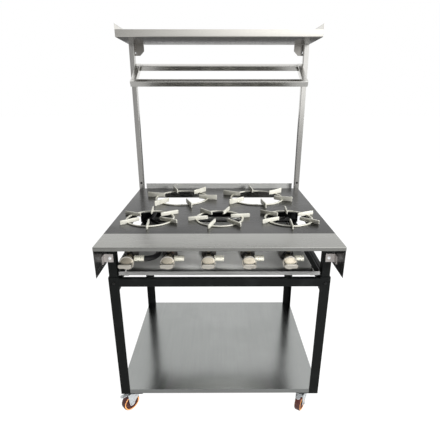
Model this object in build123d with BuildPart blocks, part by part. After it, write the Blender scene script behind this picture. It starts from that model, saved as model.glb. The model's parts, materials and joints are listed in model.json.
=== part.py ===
from build123d import *
import os
from math import atan2, cos, degrees, hypot, radians, sin

# Five-burner gas cooker on a wheeled stand, with an upper shelf and a tilted seasoning rack.
# Millimetres. +Z is up, -Y is the front, the origin is on the floor under the middle of the hob.

# Hob sheet metal
hob_width = 850
hob_depth = 790
hob_height = 822
hob_sheet = 1.5
front_panel_depth = 126
front_lip_drop = 15
front_hem = 10
joggle_width = 18
joggle_lap = 1.5
skirt_sheet = 1.2
skirt_drop = 116
skirt_flange = 15
apron_drop = 50
upstand_height = 28
upstand_end_gap = 9

# Stand with legs of steel angle and rails of tube
leg_angle = 38
leg_thick = 3
rail_wall = 2
tube_corner = 3
stand_side_inset = 8.5
stand_front_overhang = 95
stand_rear_overhang = 26
leg_top_drop = 164
rail_step = 6
rail_depth = 20
rail_height = 34
runner_width = 20
runner_height = 16
runner_wall = 1.5
strip_width = 43
strip_thick = 3

# Hob frame of tube that stands in the corners of the leg angles
post_wall = 2
post_insert = 60
rear_rail_drop = 116
bracket_leaf = 25
bracket_height = 32
bracket_sheet = 3
bracket_drop = 68
burner_bar_width = 25
burner_bar_thick = 6

# Shelf, tray and castor plates
shelf_sheet = 1.5
shelf_top = 127
shelf_notch_gap = 0.3
tray_sheet = 1.2
tray_lip = 15
tray_side_gap = 4.5
tray_body_gap = 26
tray_rear_gap = 9
castor_plate_size = 90
castor_plate_thick = 4

# Castors
castor_height = 103
castor_inset = 48
castor_trail = 30
castor_top_size = 60
castor_top_thick = 2.5
race_radius = 22
race_gap = 0.4
crown_height = 6
crown_plate = 4
kingpin_radius = 5
kingpin_clearance = 0.08
wheel_diameter = 75
wheel_width = 24
wheel_side_recess = 3
wheel_edge = 3
wheel_rim = 8
hub_radius = 13
hub_width = 28
axle_radius = 4
axle_clearance = 0.06
axle_head_radius = 7
axle_head_height = 4
cheek_gap = 0.3
cheek_thick = 2.5
cheek_boss_radius = 12
cheek_margin = 6
fork_back = 20
fork_plate_reach = 26
kingpin_top_gap = 1.5
weld_gap = 0.02
pedal_pin_radius = 2.5
pedal_pin_clearance = 0.06
pedal_pin_reach = 10
pedal_pin_rise = 42.5
pedal_sleeve_radius = 5
pedal_side_gap = 1.3
pedal_length = 25
pedal_width = 18
pedal_thick = 3
pedal_lift = 8

# Upright posts, upper shelf and rack
upright_tube = 25
upright_wall = 1.5
spigot_gap = 0.5
spigot_height = 60
upright_bolt_height = 36
upper_shelf_rise = 702
upper_shelf_depth = 257
upper_shelf_sheet = 1.2
fascia_height = 28
end_plate_height = 50
gusset_width = 42
gusset_height = 48
gusset_cut = 20
gusset_sheet = 2
rack_tube = 25
rack_wall = 1.5
rack_rear_rise = 602
rack_drop = 73
rack_reach = 133
rack_setback = 4.6

# Burners
rear_row_inset = 190
row_gap = 308
front_pitch = 283
rear_offset = 183
ring_radius = {"small": 99, "large": 129}
fin_reach = {"small": 128, "large": 174}
fin_inner = {"small": 48, "large": 86}
fin_height = {"small": 17, "large": 22}
fin_end_height = {"small": 16, "large": 24}
chamber_radius = {"small": 46, "large": 58}
ring_width = 8
ring_thick = 5
ring_seat = 2
hole_edge_gap = 8
fin_count = 6
fin_thick = 5
fin_tip_height = 3
cap_drop = 49
cap_height = 12
cap_overhang = 4
cap_slots = 24
cap_slot_width = 4
cap_dome = 9
chamber_wall = 5
chamber_taper = 0.7
mixing_tube_radius = 16
mixing_tube_bore = 11
mouth_radius = 28
mouth_thick = 6
mouth_straight = 26
mouth_bend = 40
mouth_gap = 21

# Gas valves, from left to right
valve_pitch_most = 149
valve_left_margin = 42.5
valve_row_offset = -41
valve_drop = 98
valve_body_radius = 15
valve_setback = 3
valve_length = 45
side_arm_radius = 8
side_arm_length = 18
side_nut_radius = 11.5
side_nut_length = 36
side_nut_ribs = 5
side_nut_rib_depth = 1.5
side_arm_setback = 25
spindle_radius = 4
spindle_clearance = 0.06
spindle_depth = 20
jet_radius = 7
jet_length = 26
jet_tip_radius = 4
shutter_radius = 25
shutter_thick = 2
shutter_gap = 5
knob_radius = 27
knob_disc = 8
knob_gap = 7
knob_bar_length = 48
knob_bar_height = 16
knob_bar_depth = 30
knob_socket = 14
knob_edge = 2
spindle_end_gap = 1

# Gas supply
manifold_drop = 50
manifold_radius = 10.65
manifold_wall = 2.6
manifold_end_gap = 6
manifold_tail = 60
clip_width = 20
clip_thick = 3
hose_radius = 10
hose_bore = 6.5
hose_bend = 40
hose_first_bend = 0.9
hose_side_gap = 46
hose_run = 142
hose_rear_run = 168
inlet_inset = 67.5
inlet_reach = 32
inlet_radius = 9
inlet_nipple_radius = 7
inlet_nipple_length = 24
inlet_hex_radius = 14
inlet_hex_length = 10
inlet_collar = 5.5
inlet_tab_width = 34
inlet_tab_thick = 3
inlet_tab_rise = 22

# Bolts
bolt_head_radius = 6
bolt_head_height = 4
bolt_shank_radius = 3
bolt_grip = 3
leg_bolt_drop = 25

# Worked-out places
half_width = hob_width / 2
front = -hob_depth / 2
rear = hob_depth / 2
hob_under = hob_height - hob_sheet
flange_under = hob_under - skirt_sheet
panel_seam = front + front_panel_depth
post_tube = leg_angle - 2 * leg_thick
leg_x = half_width - stand_side_inset - leg_angle / 2
front_leg_y = front + stand_front_overhang + leg_angle / 2
rear_leg_y = rear - stand_rear_overhang - leg_angle / 2
leg_outer = leg_x + leg_angle / 2
leg_inner = leg_x - leg_angle / 2
stand_front = front_leg_y - leg_angle / 2
stand_rear = rear_leg_y + leg_angle / 2
leg_bottom = castor_height + castor_plate_thick
leg_top = hob_height - leg_top_drop
rail_top = leg_top - rail_step
tray_floor = rail_top + runner_height
valve_z = hob_height - valve_drop
burner_floor = valve_z - mixing_tube_radius - 1
cap_top = hob_height - cap_drop
cap_base = cap_top - cap_height
upright_x = half_width - upright_tube / 2
upright_y = rear - upright_tube / 2
upright_inner = half_width - upright_tube
upper_shelf_under = hob_height + upper_shelf_rise
axle_z = wheel_diameter / 2
race_bottom = castor_height - castor_top_thick - 7
crown_top = race_bottom - race_gap
hole_radius = {size: ring_radius[size] - ring_width - ring_seat for size in ring_radius}
corners = [(sx * leg_x, y) for y in (front_leg_y, rear_leg_y) for sx in (-1, 1)]
rear_row = rear - rear_row_inset
front_row_least = panel_seam + hole_radius["small"] + hole_edge_gap
front_row = max(rear_row - row_gap, front_row_least)

# Burners from left to right: centre x, centre y, turn of the pan support, large or small
burner_places = {
    "front_left": (-front_pitch, front_row, 34, "small"),
    "rear_left": (-rear_offset, rear_row, 50, "large"),
    "front_centre": (0, front_row, 10, "small"),
    "rear_right": (rear_offset, rear_row, 38, "large"),
    "front_right": (front_pitch, front_row, 27, "small"),
}

# The valves keep their pitch unless the left post comes too close
post_inner = leg_x - post_tube / 2
valve_pitch = min(valve_pitch_most, (post_inner - valve_left_margin + valve_row_offset) / 2)
valve_x = [valve_row_offset + valve_pitch * (n - 2) for n in range(len(burner_places))]
valve_front = stand_front + valve_setback
side_arm_y = valve_front + side_arm_setback
mouth_y = valve_front + valve_length + mouth_gap
inlet_x = -(leg_x - inlet_inset)
inlet_y = rear_leg_y - inlet_reach
hose_back_x = valve_x[1] - hose_side_gap
hose_turn_y = front_row + hose_run
hose_rear_turn_y = inlet_y - hose_rear_run
manifold_y = valve_front + valve_length / 2
manifold_z = hob_height - manifold_drop
clip_spread = 1.5 * valve_pitch

# Bolts as the face they sit on, the way they point and the length of the shank
skirt_inner = half_width - skirt_sheet
bracket_reach = leg_x - post_tube / 4
bracket_top = hob_height - bracket_drop
bracket_bottom = bracket_top - bracket_height
bracket_bolt_x = (bracket_reach + leg_x + post_tube / 2) / 2
bracket_bolt_z = (bracket_top + bracket_bottom) / 2
bracket_bolt_length = bracket_sheet + post_wall + bolt_grip
leg_bolt_length = leg_angle / 2 - post_tube / 2 + post_wall + bolt_grip
upright_bolt_length = 2 * upright_wall + spigot_gap + bolt_grip
gusset_bolt_length = gusset_sheet + upright_wall + bolt_grip
bracket_front = front_leg_y - post_tube / 2 - bracket_sheet
bracket_rear = rear_leg_y + post_tube / 2 + bracket_sheet
upright_bolts = []
gusset_bolts = []
bracket_bolts = []
leg_bolts = []
for sx in (-1, 1):
    seat = (sx * upright_x, rear - upright_tube, hob_height + upright_bolt_height)
    upright_bolts.append((seat, (0, 1, 0), upright_bolt_length))
    seat = (sx * (upright_inner - gusset_sheet), upright_y, upper_shelf_under - gusset_height * 0.75)
    gusset_bolts.append((seat, (sx, 0, 0), gusset_bolt_length))
    for bracket_y, leg_y, sy in ((bracket_front, stand_front, 1), (bracket_rear, stand_rear, -1)):
        seat = (sx * bracket_bolt_x, bracket_y, bracket_bolt_z)
        bracket_bolts.append((seat, (0, sy, 0), bracket_bolt_length))
        seat = (sx * leg_x, leg_y, leg_top - leg_bolt_drop)
        leg_bolts.append((seat, (0, sy, 0), leg_bolt_length))

upward = (Align.CENTER, Align.CENTER, Align.MIN)
os.makedirs("parts", exist_ok=True)


def along(point, way, distance):
    """Point at a distance from another along a direction."""
    return tuple(a + distance * b for a, b in zip(point, way))


def slab(low, high, mode=Mode.ADD):
    """Box between two opposite corners, in the part being built."""
    middle = tuple((a + b) / 2 for a, b in zip(low, high))
    with Locations(middle):
        Box(*(b - a for a, b in zip(low, high)), mode=mode)


def rod(start, end, radius, mode=Mode.ADD):
    """Round rod from one point to another, in the part being built."""
    way = Vector(*end) - Vector(*start)
    with BuildSketch(Plane(origin=start, z_dir=way)) as profile:
        Circle(radius)
    extrude(profile.sketch, amount=way.length, mode=mode)


def tube(start, way, across, length, side, wall, height=None):
    """Hollow tube with turned corners from a point along a direction, in the part being built."""
    height = height or side
    inner_corner = max(tube_corner - wall, wall / 2)
    with BuildSketch(Plane(origin=start, x_dir=across, z_dir=way)) as profile:
        RectangleRounded(side, height, tube_corner)
        RectangleRounded(side - 2 * wall, height - 2 * wall, inner_corner, mode=Mode.SUBTRACT)
    extrude(profile.sketch, amount=length)


def square_tube(start, end, side, wall, height=None):
    """Hollow tube along one axis between two points, in the part being built."""
    way = Vector(*end) - Vector(*start)
    across = (1, 0, 0) if abs(way.X) < way.length / 2 else (0, 1, 0)
    tube(start, way, across, way.length, side, wall, height)


def write(piece, name):
    """Label a finished piece and write its file."""
    piece.part.label = name
    export_step(piece.part, f"parts/{name}.step")


# Hob plate: flat top behind the front panel, five burner holes, rear upstand between the uprights
with BuildPart() as hob_plate:
    slab((-half_width, panel_seam, hob_under), (half_width, rear, hob_height))
    for x, y, turn, size in burner_places.values():
        with Locations((x, y, hob_height)):
            Hole(hole_radius[size], depth=hob_sheet)
    upstand_half = upright_inner - upstand_end_gap
    slab((-upstand_half, rear - hob_sheet, hob_height), (upstand_half, rear, hob_height + upstand_height))
write(hob_plate, "hob_plate")

# Front panel: top strip, front lip with a hem, and a joggle that the hob plate lies on
with BuildPart() as front_panel:
    lip_bottom = hob_height - front_lip_drop
    joggle_half = leg_x - post_tube / 2 - joggle_lap
    hem_half = half_width - skirt_sheet - joggle_lap
    slab((-half_width, front, hob_under), (half_width, panel_seam, hob_height))
    slab((-half_width, front, lip_bottom), (half_width, front + hob_sheet, hob_height))
    slab((-hem_half, front, lip_bottom), (hem_half, front + front_hem, lip_bottom + hob_sheet))
    slab(
        (-joggle_half, panel_seam - joggle_lap, hob_under - hob_sheet),
        (joggle_half, panel_seam + joggle_width, hob_under),
    )
write(front_panel, "front_panel")

# Side skirts hang from a flange under the top sheets
for side, sign in (("left", -1), ("right", 1)):
    with BuildPart() as side_skirt:
        outer = sign * half_width
        inner = outer - sign * skirt_sheet
        flange = inner - sign * skirt_flange
        skirt_front = front + hob_sheet
        skirt_rear = rear - skirt_sheet
        slab(
            (min(outer, inner), skirt_front, hob_height - skirt_drop),
            (max(outer, inner), skirt_rear, hob_under),
        )
        slab(
            (min(outer, flange), skirt_front, flange_under),
            (max(outer, flange), skirt_rear, hob_under),
        )
    write(side_skirt, f"side_skirt_{side}")

# Rear apron closes the back under the hob plate
with BuildPart() as rear_apron:
    apron_half = half_width - skirt_sheet - skirt_flange
    slab((-half_width, rear - skirt_sheet, hob_under - apron_drop), (half_width, rear, hob_under))
    slab((-apron_half, rear - skirt_flange, flange_under), (apron_half, rear, hob_under))
write(rear_apron, "rear_apron")

# Stand: four angle legs with their corners outwards, a front rail and two side rails


def angle_slabs(x, y, reach, thick, bottom, top):
    """Corners of the two slabs of an angle whose corner points away from the middle of the cooker."""
    half = leg_angle / 2
    out_x = x + half if x > 0 else x - half
    out_y = y + half if y > 0 else y - half
    far_x = out_x - reach if x > 0 else out_x + reach
    far_y = out_y - reach if y > 0 else out_y + reach
    thin_x = out_x - thick if x > 0 else out_x + thick
    thin_y = out_y - thick if y > 0 else out_y + thick
    return [
        ((min(out_x, far_x), min(out_y, thin_y), bottom), (max(out_x, far_x), max(out_y, thin_y), top)),
        ((min(out_x, thin_x), min(out_y, far_y), bottom), (max(out_x, thin_x), max(out_y, far_y), top)),
    ]


with BuildPart() as stand_legs:
    for x, y in corners:
        for low, high in angle_slabs(x, y, leg_angle, leg_thick, leg_bottom, leg_top):
            slab(low, high)
    for face, way, length in leg_bolts:
        rod(face, along(face, way, length), bolt_shank_radius, mode=Mode.SUBTRACT)
write(stand_legs, "stand_legs")

with BuildPart() as stand_rails:
    rail_z = rail_top - rail_height / 2
    y = stand_front + rail_depth / 2
    square_tube((-leg_inner, y, rail_z), (leg_inner, y, rail_z), rail_depth, rail_wall, rail_height)
    for sx in (-1, 1):
        x = sx * (leg_outer - rail_depth / 2)
        ends = (front_leg_y + leg_angle / 2, rear_leg_y - leg_angle / 2)
        square_tube((x, ends[0], rail_z), (x, ends[1], rail_z), rail_depth, rail_wall, rail_height)
write(stand_rails, "stand_rails")

# Tray runners lie on the front rail, welded to the hob posts, each under a strip that the tray slides on
with BuildPart() as tray_runners:
    runner_tube = runner_height - strip_thick
    runner_ends = (stand_front + leg_thick, stand_rear - leg_thick)
    for sx in (-1, 1):
        x = sx * (post_inner - runner_width / 2)
        z = rail_top + runner_tube / 2
        square_tube((x, runner_ends[0], z), (x, runner_ends[1], z), runner_width, runner_wall, runner_tube)
        low, high = sorted((sx * post_inner, sx * (post_inner - strip_width)))
        slab((low, runner_ends[0], tray_floor - strip_thick), (high, runner_ends[1], tray_floor))
write(tray_runners, "tray_runners")

# Hob frame: posts inside the legs, side rails under the hob, a rear rail that stops the tray
with BuildPart() as hob_posts:
    for x, y in corners:
        square_tube((x, y, leg_top - post_insert), (x, y, flange_under), post_tube, post_wall)
    for face, way, length in bracket_bolts + leg_bolts:
        rod(face, along(face, way, length), bolt_shank_radius, mode=Mode.SUBTRACT)
write(hob_posts, "hob_posts")

with BuildPart() as hob_rails:
    top_rail_z = flange_under - post_tube / 2
    for sx in (-1, 1):
        ends = (front_leg_y + post_tube / 2, rear_leg_y - post_tube / 2)
        square_tube((sx * leg_x, ends[0], top_rail_z), (sx * leg_x, ends[1], top_rail_z), post_tube, post_wall)
    rear_rail_z = hob_height - rear_rail_drop - post_tube / 2
    rear_rail_half = leg_x - post_tube / 2
    square_tube(
        (-rear_rail_half, rear_leg_y, rear_rail_z), (rear_rail_half, rear_leg_y, rear_rail_z), post_tube, post_wall
    )
    # Tab on the rear rail that holds the gas inlet
    tab_bottom = rear_rail_z + post_tube / 2
    slab(
        (inlet_x - inlet_tab_width / 2, rear_leg_y - inlet_tab_thick / 2, tab_bottom),
        (inlet_x + inlet_tab_width / 2, rear_leg_y + inlet_tab_thick / 2, valve_z + inlet_tab_rise),
    )
    rod(
        (inlet_x, rear_leg_y - inlet_tab_thick, valve_z),
        (inlet_x, rear_leg_y + inlet_tab_thick, valve_z),
        inlet_radius,
        mode=Mode.SUBTRACT,
    )
write(hob_rails, "hob_rails")

# Angle brackets from the posts' outer faces to the skirts
bracket_sides = [(y, -1 if y < 0 else 1) for y in (front_leg_y, rear_leg_y)]
with BuildPart() as leg_brackets:
    for sx in (-1, 1):
        for post_y, sy in bracket_sides:
            face = post_y + sy * post_tube / 2
            proud = face + sy * bracket_sheet
            far = face + sy * bracket_leaf
            slab(
                (min(sx * bracket_reach, sx * skirt_inner), min(face, proud), bracket_bottom),
                (max(sx * bracket_reach, sx * skirt_inner), max(face, proud), bracket_top),
            )
            leaf = skirt_inner - bracket_sheet
            slab(
                (min(sx * leaf, sx * skirt_inner), min(face, far), bracket_bottom),
                (max(sx * leaf, sx * skirt_inner), max(face, far), bracket_top),
            )
    for face, way, length in bracket_bolts:
        rod(face, along(face, way, length), bolt_shank_radius, mode=Mode.SUBTRACT)
write(leg_brackets, "leg_brackets")

# Burner bars: flat cross bars hung from the side rails
bar_half = leg_x - post_tube / 4
bar_hang = flange_under - post_tube
with BuildPart() as burner_bars:
    for row in (front_row, rear_row):
        near = row - burner_bar_width / 2
        far = row + burner_bar_width / 2
        slab((-bar_half, near, burner_floor - burner_bar_thick), (bar_half, far, burner_floor))
        for sx in (-1, 1):
            inner = bar_half - burner_bar_thick
            slab(
                (min(sx * inner, sx * bar_half), near, burner_floor - burner_bar_thick),
                (max(sx * inner, sx * bar_half), far, bar_hang),
            )
write(burner_bars, "burner_bars")

# Bottom shelf: a sheet with turned-down edges, notched round the legs
with BuildPart() as bottom_shelf:
    slab((-leg_outer, stand_front, leg_bottom), (leg_outer, stand_rear, shelf_top))
    slab(
        (-leg_outer + shelf_sheet, stand_front + shelf_sheet, leg_bottom),
        (leg_outer - shelf_sheet, stand_rear - shelf_sheet, shelf_top - shelf_sheet),
        mode=Mode.SUBTRACT,
    )
    reach = leg_angle + shelf_notch_gap
    thick = leg_thick + shelf_notch_gap
    for x, y in corners:
        for low, high in angle_slabs(x, y, reach, thick, leg_bottom, shelf_top):
            slab(low, high, mode=Mode.SUBTRACT)
write(bottom_shelf, "bottom_shelf")

# Corner plates under the legs carry the castors
castor_spots = [
    (sx * (leg_outer - castor_inset), y)
    for y in (stand_front + castor_inset, stand_rear - castor_inset)
    for sx in (-1, 1)
]
with BuildPart() as castor_plates:
    for sx in (-1, 1):
        for edge, sy in ((stand_front, 1), (stand_rear, -1)):
            x_far = sx * (leg_outer - castor_plate_size)
            y_far = edge + sy * castor_plate_size
            slab(
                (min(sx * leg_outer, x_far), min(edge, y_far), castor_height),
                (max(sx * leg_outer, x_far), max(edge, y_far), leg_bottom),
            )
write(castor_plates, "castor_plates")

# Drip tray: shallow sheet tray that slides out over the front rail, with a lip that is wider than its body
tray_half = leg_inner - tray_body_gap
lip_half = leg_inner - tray_side_gap
tray_rear = rear_leg_y - post_tube / 2 - tray_rear_gap
with BuildPart() as drip_tray:
    slab((-tray_half, stand_front, tray_floor), (tray_half, tray_rear, tray_floor + tray_lip))
    slab(
        (-tray_half + tray_sheet, stand_front + tray_sheet, tray_floor + tray_sheet),
        (tray_half - tray_sheet, tray_rear - tray_sheet, tray_floor + tray_lip),
        mode=Mode.SUBTRACT,
    )
    slab((-lip_half, stand_front, tray_floor), (lip_half, stand_front + tray_sheet, tray_floor + tray_lip))
write(drip_tray, "drip_tray")


# Pan supports: a ring on the hob with upright fins that reach in over the burner hole
def pan_support(size):
    """Pan support about the Z axis, standing on the XY plane."""
    ring_inner = ring_radius[size] - ring_width
    with BuildPart() as support:
        with BuildSketch():
            Circle(ring_radius[size])
            Circle(ring_inner, mode=Mode.SUBTRACT)
        extrude(amount=ring_thick)
        for n in range(fin_count):
            angle = 360 * n / fin_count
            radial = (cos(radians(angle)), sin(radians(angle)), 0)
            with BuildSketch(Plane((0, 0, 0), x_dir=radial, z_dir=(radial[1], -radial[0], 0))):
                with BuildLine():
                    Polyline(
                        (fin_reach[size], 0),
                        (fin_reach[size], fin_end_height[size]),
                        (ring_radius[size], fin_height[size]),
                        (fin_inner[size], fin_height[size]),
                        (fin_inner[size], fin_tip_height),
                        (ring_inner, 0),
                        close=True,
                    )
                make_face()
            extrude(amount=fin_thick / 2, both=True)
    return support.part


support_shapes = {size: pan_support(size) for size in ring_radius}
for name, (x, y, turn, size) in burner_places.items():
    with BuildPart() as support:
        with Locations(Location((x, y, hob_height), (0, 0, turn))):
            add(support_shapes[size])
    write(support, f"pan_support_{name}")


# Burners: cast bowl with a mixing tube that leads back from its mouth behind the valve
for (name, (x, y, turn, size)), vx in zip(burner_places.items(), valve_x):
    radius = chamber_radius[size]
    floor_radius = radius * chamber_taper
    with BuildLine(Plane.XY.offset(valve_z)) as tube_route:
        FilletPolyline((vx, mouth_y), (vx, mouth_y + mouth_straight), (x, y), radius=mouth_bend)
    route = tube_route.wires()[0]
    mouth_plane = Plane(origin=(vx, mouth_y, valve_z), z_dir=(0, 1, 0))
    with BuildPart() as burner:
        with BuildSketch(mouth_plane) as tube_outside:
            Circle(mixing_tube_radius)
        sweep(tube_outside.sketch, path=route)
        rod((vx, mouth_y, valve_z), (vx, mouth_y + mouth_thick, valve_z), mouth_radius)
        with Locations((x, y, burner_floor)):
            Cone(floor_radius, radius, cap_base - burner_floor, align=upward)
        with Locations((x, y, burner_floor + chamber_wall)):
            Cone(
                floor_radius - chamber_wall,
                radius - chamber_wall,
                cap_base - burner_floor - chamber_wall,
                align=upward,
                mode=Mode.SUBTRACT,
            )
        with BuildSketch(mouth_plane) as tube_inside:
            Circle(mixing_tube_bore)
        sweep(tube_inside.sketch, path=route, mode=Mode.SUBTRACT)
    write(burner, f"burner_{name}")


def burner_cap(size):
    """Toothed cap about the Z axis, standing on the XY plane."""
    radius = chamber_radius[size] + cap_overhang
    with BuildPart() as cap:
        with BuildSketch():
            Circle(radius)
            with PolarLocations(radius, cap_slots):
                Rectangle(cap_dome, cap_slot_width, mode=Mode.SUBTRACT)
        extrude(amount=cap_height)
        with Locations((0, 0, cap_height)):
            Cone(
                radius - cap_dome,
                radius / 2,
                cap_dome,
                align=(Align.CENTER, Align.CENTER, Align.MAX),
                mode=Mode.SUBTRACT,
            )
    return cap.part


cap_shapes = {size: burner_cap(size) for size in ring_radius}
with BuildPart() as burner_caps:
    for x, y, turn, size in burner_places.values():
        with Locations((x, y, cap_base)):
            add(cap_shapes[size])
write(burner_caps, "burner_caps")

# Gas valves: body, neck up to the manifold, ribbed side union, and the jet behind
valve_rear = valve_front + valve_length
with BuildPart() as gas_valves:
    for vx in valve_x:
        rod((vx, valve_front, valve_z), (vx, valve_rear, valve_z), valve_body_radius)
        rod((vx, manifold_y, valve_z), (vx, manifold_y, manifold_z), side_arm_radius)
        nut_start = vx + valve_body_radius + side_arm_length - side_nut_radius
        rod((vx, side_arm_y, valve_z), (nut_start, side_arm_y, valve_z), side_arm_radius)
        rib_step = side_nut_length / (2 * side_nut_ribs - 1)
        for n in range(2 * side_nut_ribs - 1):
            rib_radius = side_nut_radius - side_nut_rib_depth * (n % 2)
            rib_x = nut_start + n * rib_step
            rod((rib_x, side_arm_y, valve_z), (rib_x + rib_step, side_arm_y, valve_z), rib_radius)
        rod((vx, valve_rear, valve_z), (vx, valve_rear + jet_length - jet_radius, valve_z), jet_radius)
        rod((vx, valve_rear, valve_z), (vx, valve_rear + jet_length, valve_z), jet_tip_radius)
        rod(
            (vx, valve_front, valve_z),
            (vx, valve_front + spindle_depth, valve_z),
            spindle_radius + spindle_clearance,
            mode=Mode.SUBTRACT,
        )
        rod(
            (vx - valve_body_radius, manifold_y, manifold_z),
            (vx + valve_body_radius, manifold_y, manifold_z),
            manifold_radius,
            mode=Mode.SUBTRACT,
        )
write(gas_valves, "gas_valves")

# Air shutters: loose discs on the jets, in front of the mixing-tube mouths
with BuildPart() as air_shutters:
    shutter_y = mouth_y - shutter_gap
    for vx in valve_x:
        rod((vx, shutter_y - shutter_thick, valve_z), (vx, shutter_y, valve_z), shutter_radius)
        rod(
            (vx, shutter_y - shutter_thick, valve_z),
            (vx, shutter_y, valve_z),
            jet_radius,
            mode=Mode.SUBTRACT,
        )
write(air_shutters, "air_shutters")

# Knobs on their spindles; the grip bar lies flat when the gas is shut
knob_back = valve_front - knob_gap
knob_face = knob_back - knob_disc
spindle_tip = knob_back - knob_socket
with BuildPart() as knob_shape:
    rod((0, knob_back, 0), (0, knob_face, 0), knob_radius)
    fillet(knob_shape.faces().sort_by(Axis.Y)[0].edges(), knob_edge)
    with BuildSketch(Plane(origin=(0, knob_face, 0), x_dir=(1, 0, 0), z_dir=(0, -1, 0))):
        RectangleRounded(knob_bar_length, knob_bar_height, knob_bar_height / 3)
    extrude(amount=knob_bar_depth)
    fillet(knob_shape.faces().sort_by(Axis.Y)[0].edges(), knob_edge)
    rod((0, knob_back, 0), (0, spindle_tip, 0), spindle_radius, mode=Mode.SUBTRACT)

for number, vx in enumerate(valve_x, start=1):
    with BuildPart() as knob:
        with Locations((vx, 0, valve_z)):
            add(knob_shape.part)
    write(knob, f"knob_{number}")
    with BuildPart() as valve_spindle:
        spindle_end = valve_front + spindle_depth - spindle_end_gap
        rod((vx, spindle_end, valve_z), (vx, spindle_tip, valve_z), spindle_radius)
    write(valve_spindle, f"valve_spindle_{number}")

# Manifold pipe with a closed right end, held up by two clips under the front panel
manifold_left = -post_inner + manifold_end_gap
manifold_right = valve_x[-1] + manifold_tail
with BuildPart() as manifold:
    rod((manifold_left, manifold_y, manifold_z), (manifold_right, manifold_y, manifold_z), manifold_radius)
    rod(
        (manifold_left + manifold_wall, manifold_y, manifold_z),
        (manifold_right - manifold_wall, manifold_y, manifold_z),
        manifold_radius - manifold_wall,
        mode=Mode.SUBTRACT,
    )
write(manifold, "manifold")

with BuildPart() as manifold_clips:
    clip_radius = manifold_radius + clip_thick
    strap_y = manifold_y - clip_radius
    for middle in (valve_row_offset - clip_spread, valve_row_offset + clip_spread):
        low = middle - clip_width / 2
        high = middle + clip_width / 2
        rod((low, manifold_y, manifold_z), (high, manifold_y, manifold_z), clip_radius)
        slab((low, strap_y, manifold_z), (high, strap_y + clip_thick, hob_under))
        slab((low, strap_y - clip_width, hob_under - clip_thick), (high, strap_y + clip_thick, hob_under))
        rod(
            (low, manifold_y, manifold_z),
            (high, manifold_y, manifold_z),
            manifold_radius,
            mode=Mode.SUBTRACT,
        )
write(manifold_clips, "manifold_clips")

# Gas hose from the first valve's union to the inlet at the back
hose_start_x = valve_x[0] + valve_body_radius + side_arm_length - side_nut_radius + side_nut_length
first_bend = min(hose_bend, (hose_back_x - hose_start_x) * hose_first_bend)
with BuildPart() as gas_hose:
    with BuildLine(Plane.XY.offset(valve_z)) as hose_route:
        FilletPolyline(
            (hose_start_x, side_arm_y),
            (hose_back_x, side_arm_y),
            (hose_back_x, hose_turn_y),
            (inlet_x, hose_rear_turn_y),
            (inlet_x, inlet_y),
            radius=[first_bend, hose_bend, hose_bend],
        )
    with BuildSketch(Plane(origin=(hose_start_x, side_arm_y, valve_z), z_dir=(1, 0, 0))):
        Circle(hose_radius)
        Circle(hose_bore, mode=Mode.SUBTRACT)
    sweep(path=hose_route.wires()[0])
write(gas_hose, "gas_hose")

# Gas inlet: brass fitting through the tab on the rear rail, with a nipple at the back
tab_front = rear_leg_y - inlet_tab_thick / 2
tab_back = rear_leg_y + inlet_tab_thick / 2
nipple_start = tab_back + inlet_hex_length + inlet_collar
nipple_end = nipple_start + inlet_nipple_length
with BuildPart() as gas_inlet:
    rod((inlet_x, inlet_y, valve_z), (inlet_x, nipple_start, valve_z), inlet_radius)
    rod((inlet_x, nipple_start, valve_z), (inlet_x, nipple_end, valve_z), inlet_nipple_radius)
    for start in (tab_front - inlet_hex_length, tab_back):
        with BuildSketch(Plane(origin=(inlet_x, start, valve_z), z_dir=(0, 1, 0))):
            RegularPolygon(inlet_hex_radius, 6)
        extrude(amount=inlet_hex_length)
write(gas_inlet, "gas_inlet")

# Upright posts over spigots on the hob plate, each held by one bolt
with BuildPart() as spigots:
    for sx in (-1, 1):
        x = sx * upright_x
        spigot_side = upright_tube - 2 * upright_wall - 2 * spigot_gap
        square_tube((x, upright_y, hob_height), (x, upright_y, hob_height + spigot_height), spigot_side, upright_wall)
    for face, way, length in upright_bolts:
        rod(face, along(face, way, length), bolt_shank_radius, mode=Mode.SUBTRACT)
write(spigots, "spigots")

with BuildPart() as uprights:
    for sx in (-1, 1):
        x = sx * upright_x
        square_tube((x, upright_y, hob_height), (x, upright_y, upper_shelf_under), upright_tube, upright_wall)
    for face, way, length in upright_bolts + gusset_bolts:
        rod(face, along(face, way, length), bolt_shank_radius, mode=Mode.SUBTRACT)
write(uprights, "uprights")

# Upper shelf: a tray with a low front fascia and taller ends and back
with BuildPart() as top_shelf:
    shelf_front = rear - upper_shelf_depth
    shelf_floor = upper_shelf_under + upper_shelf_sheet
    end_top = upper_shelf_under + end_plate_height
    slab((-half_width, shelf_front, upper_shelf_under), (half_width, rear, shelf_floor))
    slab(
        (-half_width, shelf_front, upper_shelf_under),
        (half_width, shelf_front + upper_shelf_sheet, upper_shelf_under + fascia_height),
    )
    slab((-half_width, rear - upper_shelf_sheet, upper_shelf_under), (half_width, rear, end_top))
    for sx in (-1, 1):
        inner = half_width - upper_shelf_sheet
        slab(
            (min(sx * inner, sx * half_width), shelf_front, upper_shelf_under),
            (max(sx * inner, sx * half_width), rear, end_top),
        )
write(top_shelf, "top_shelf")

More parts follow.
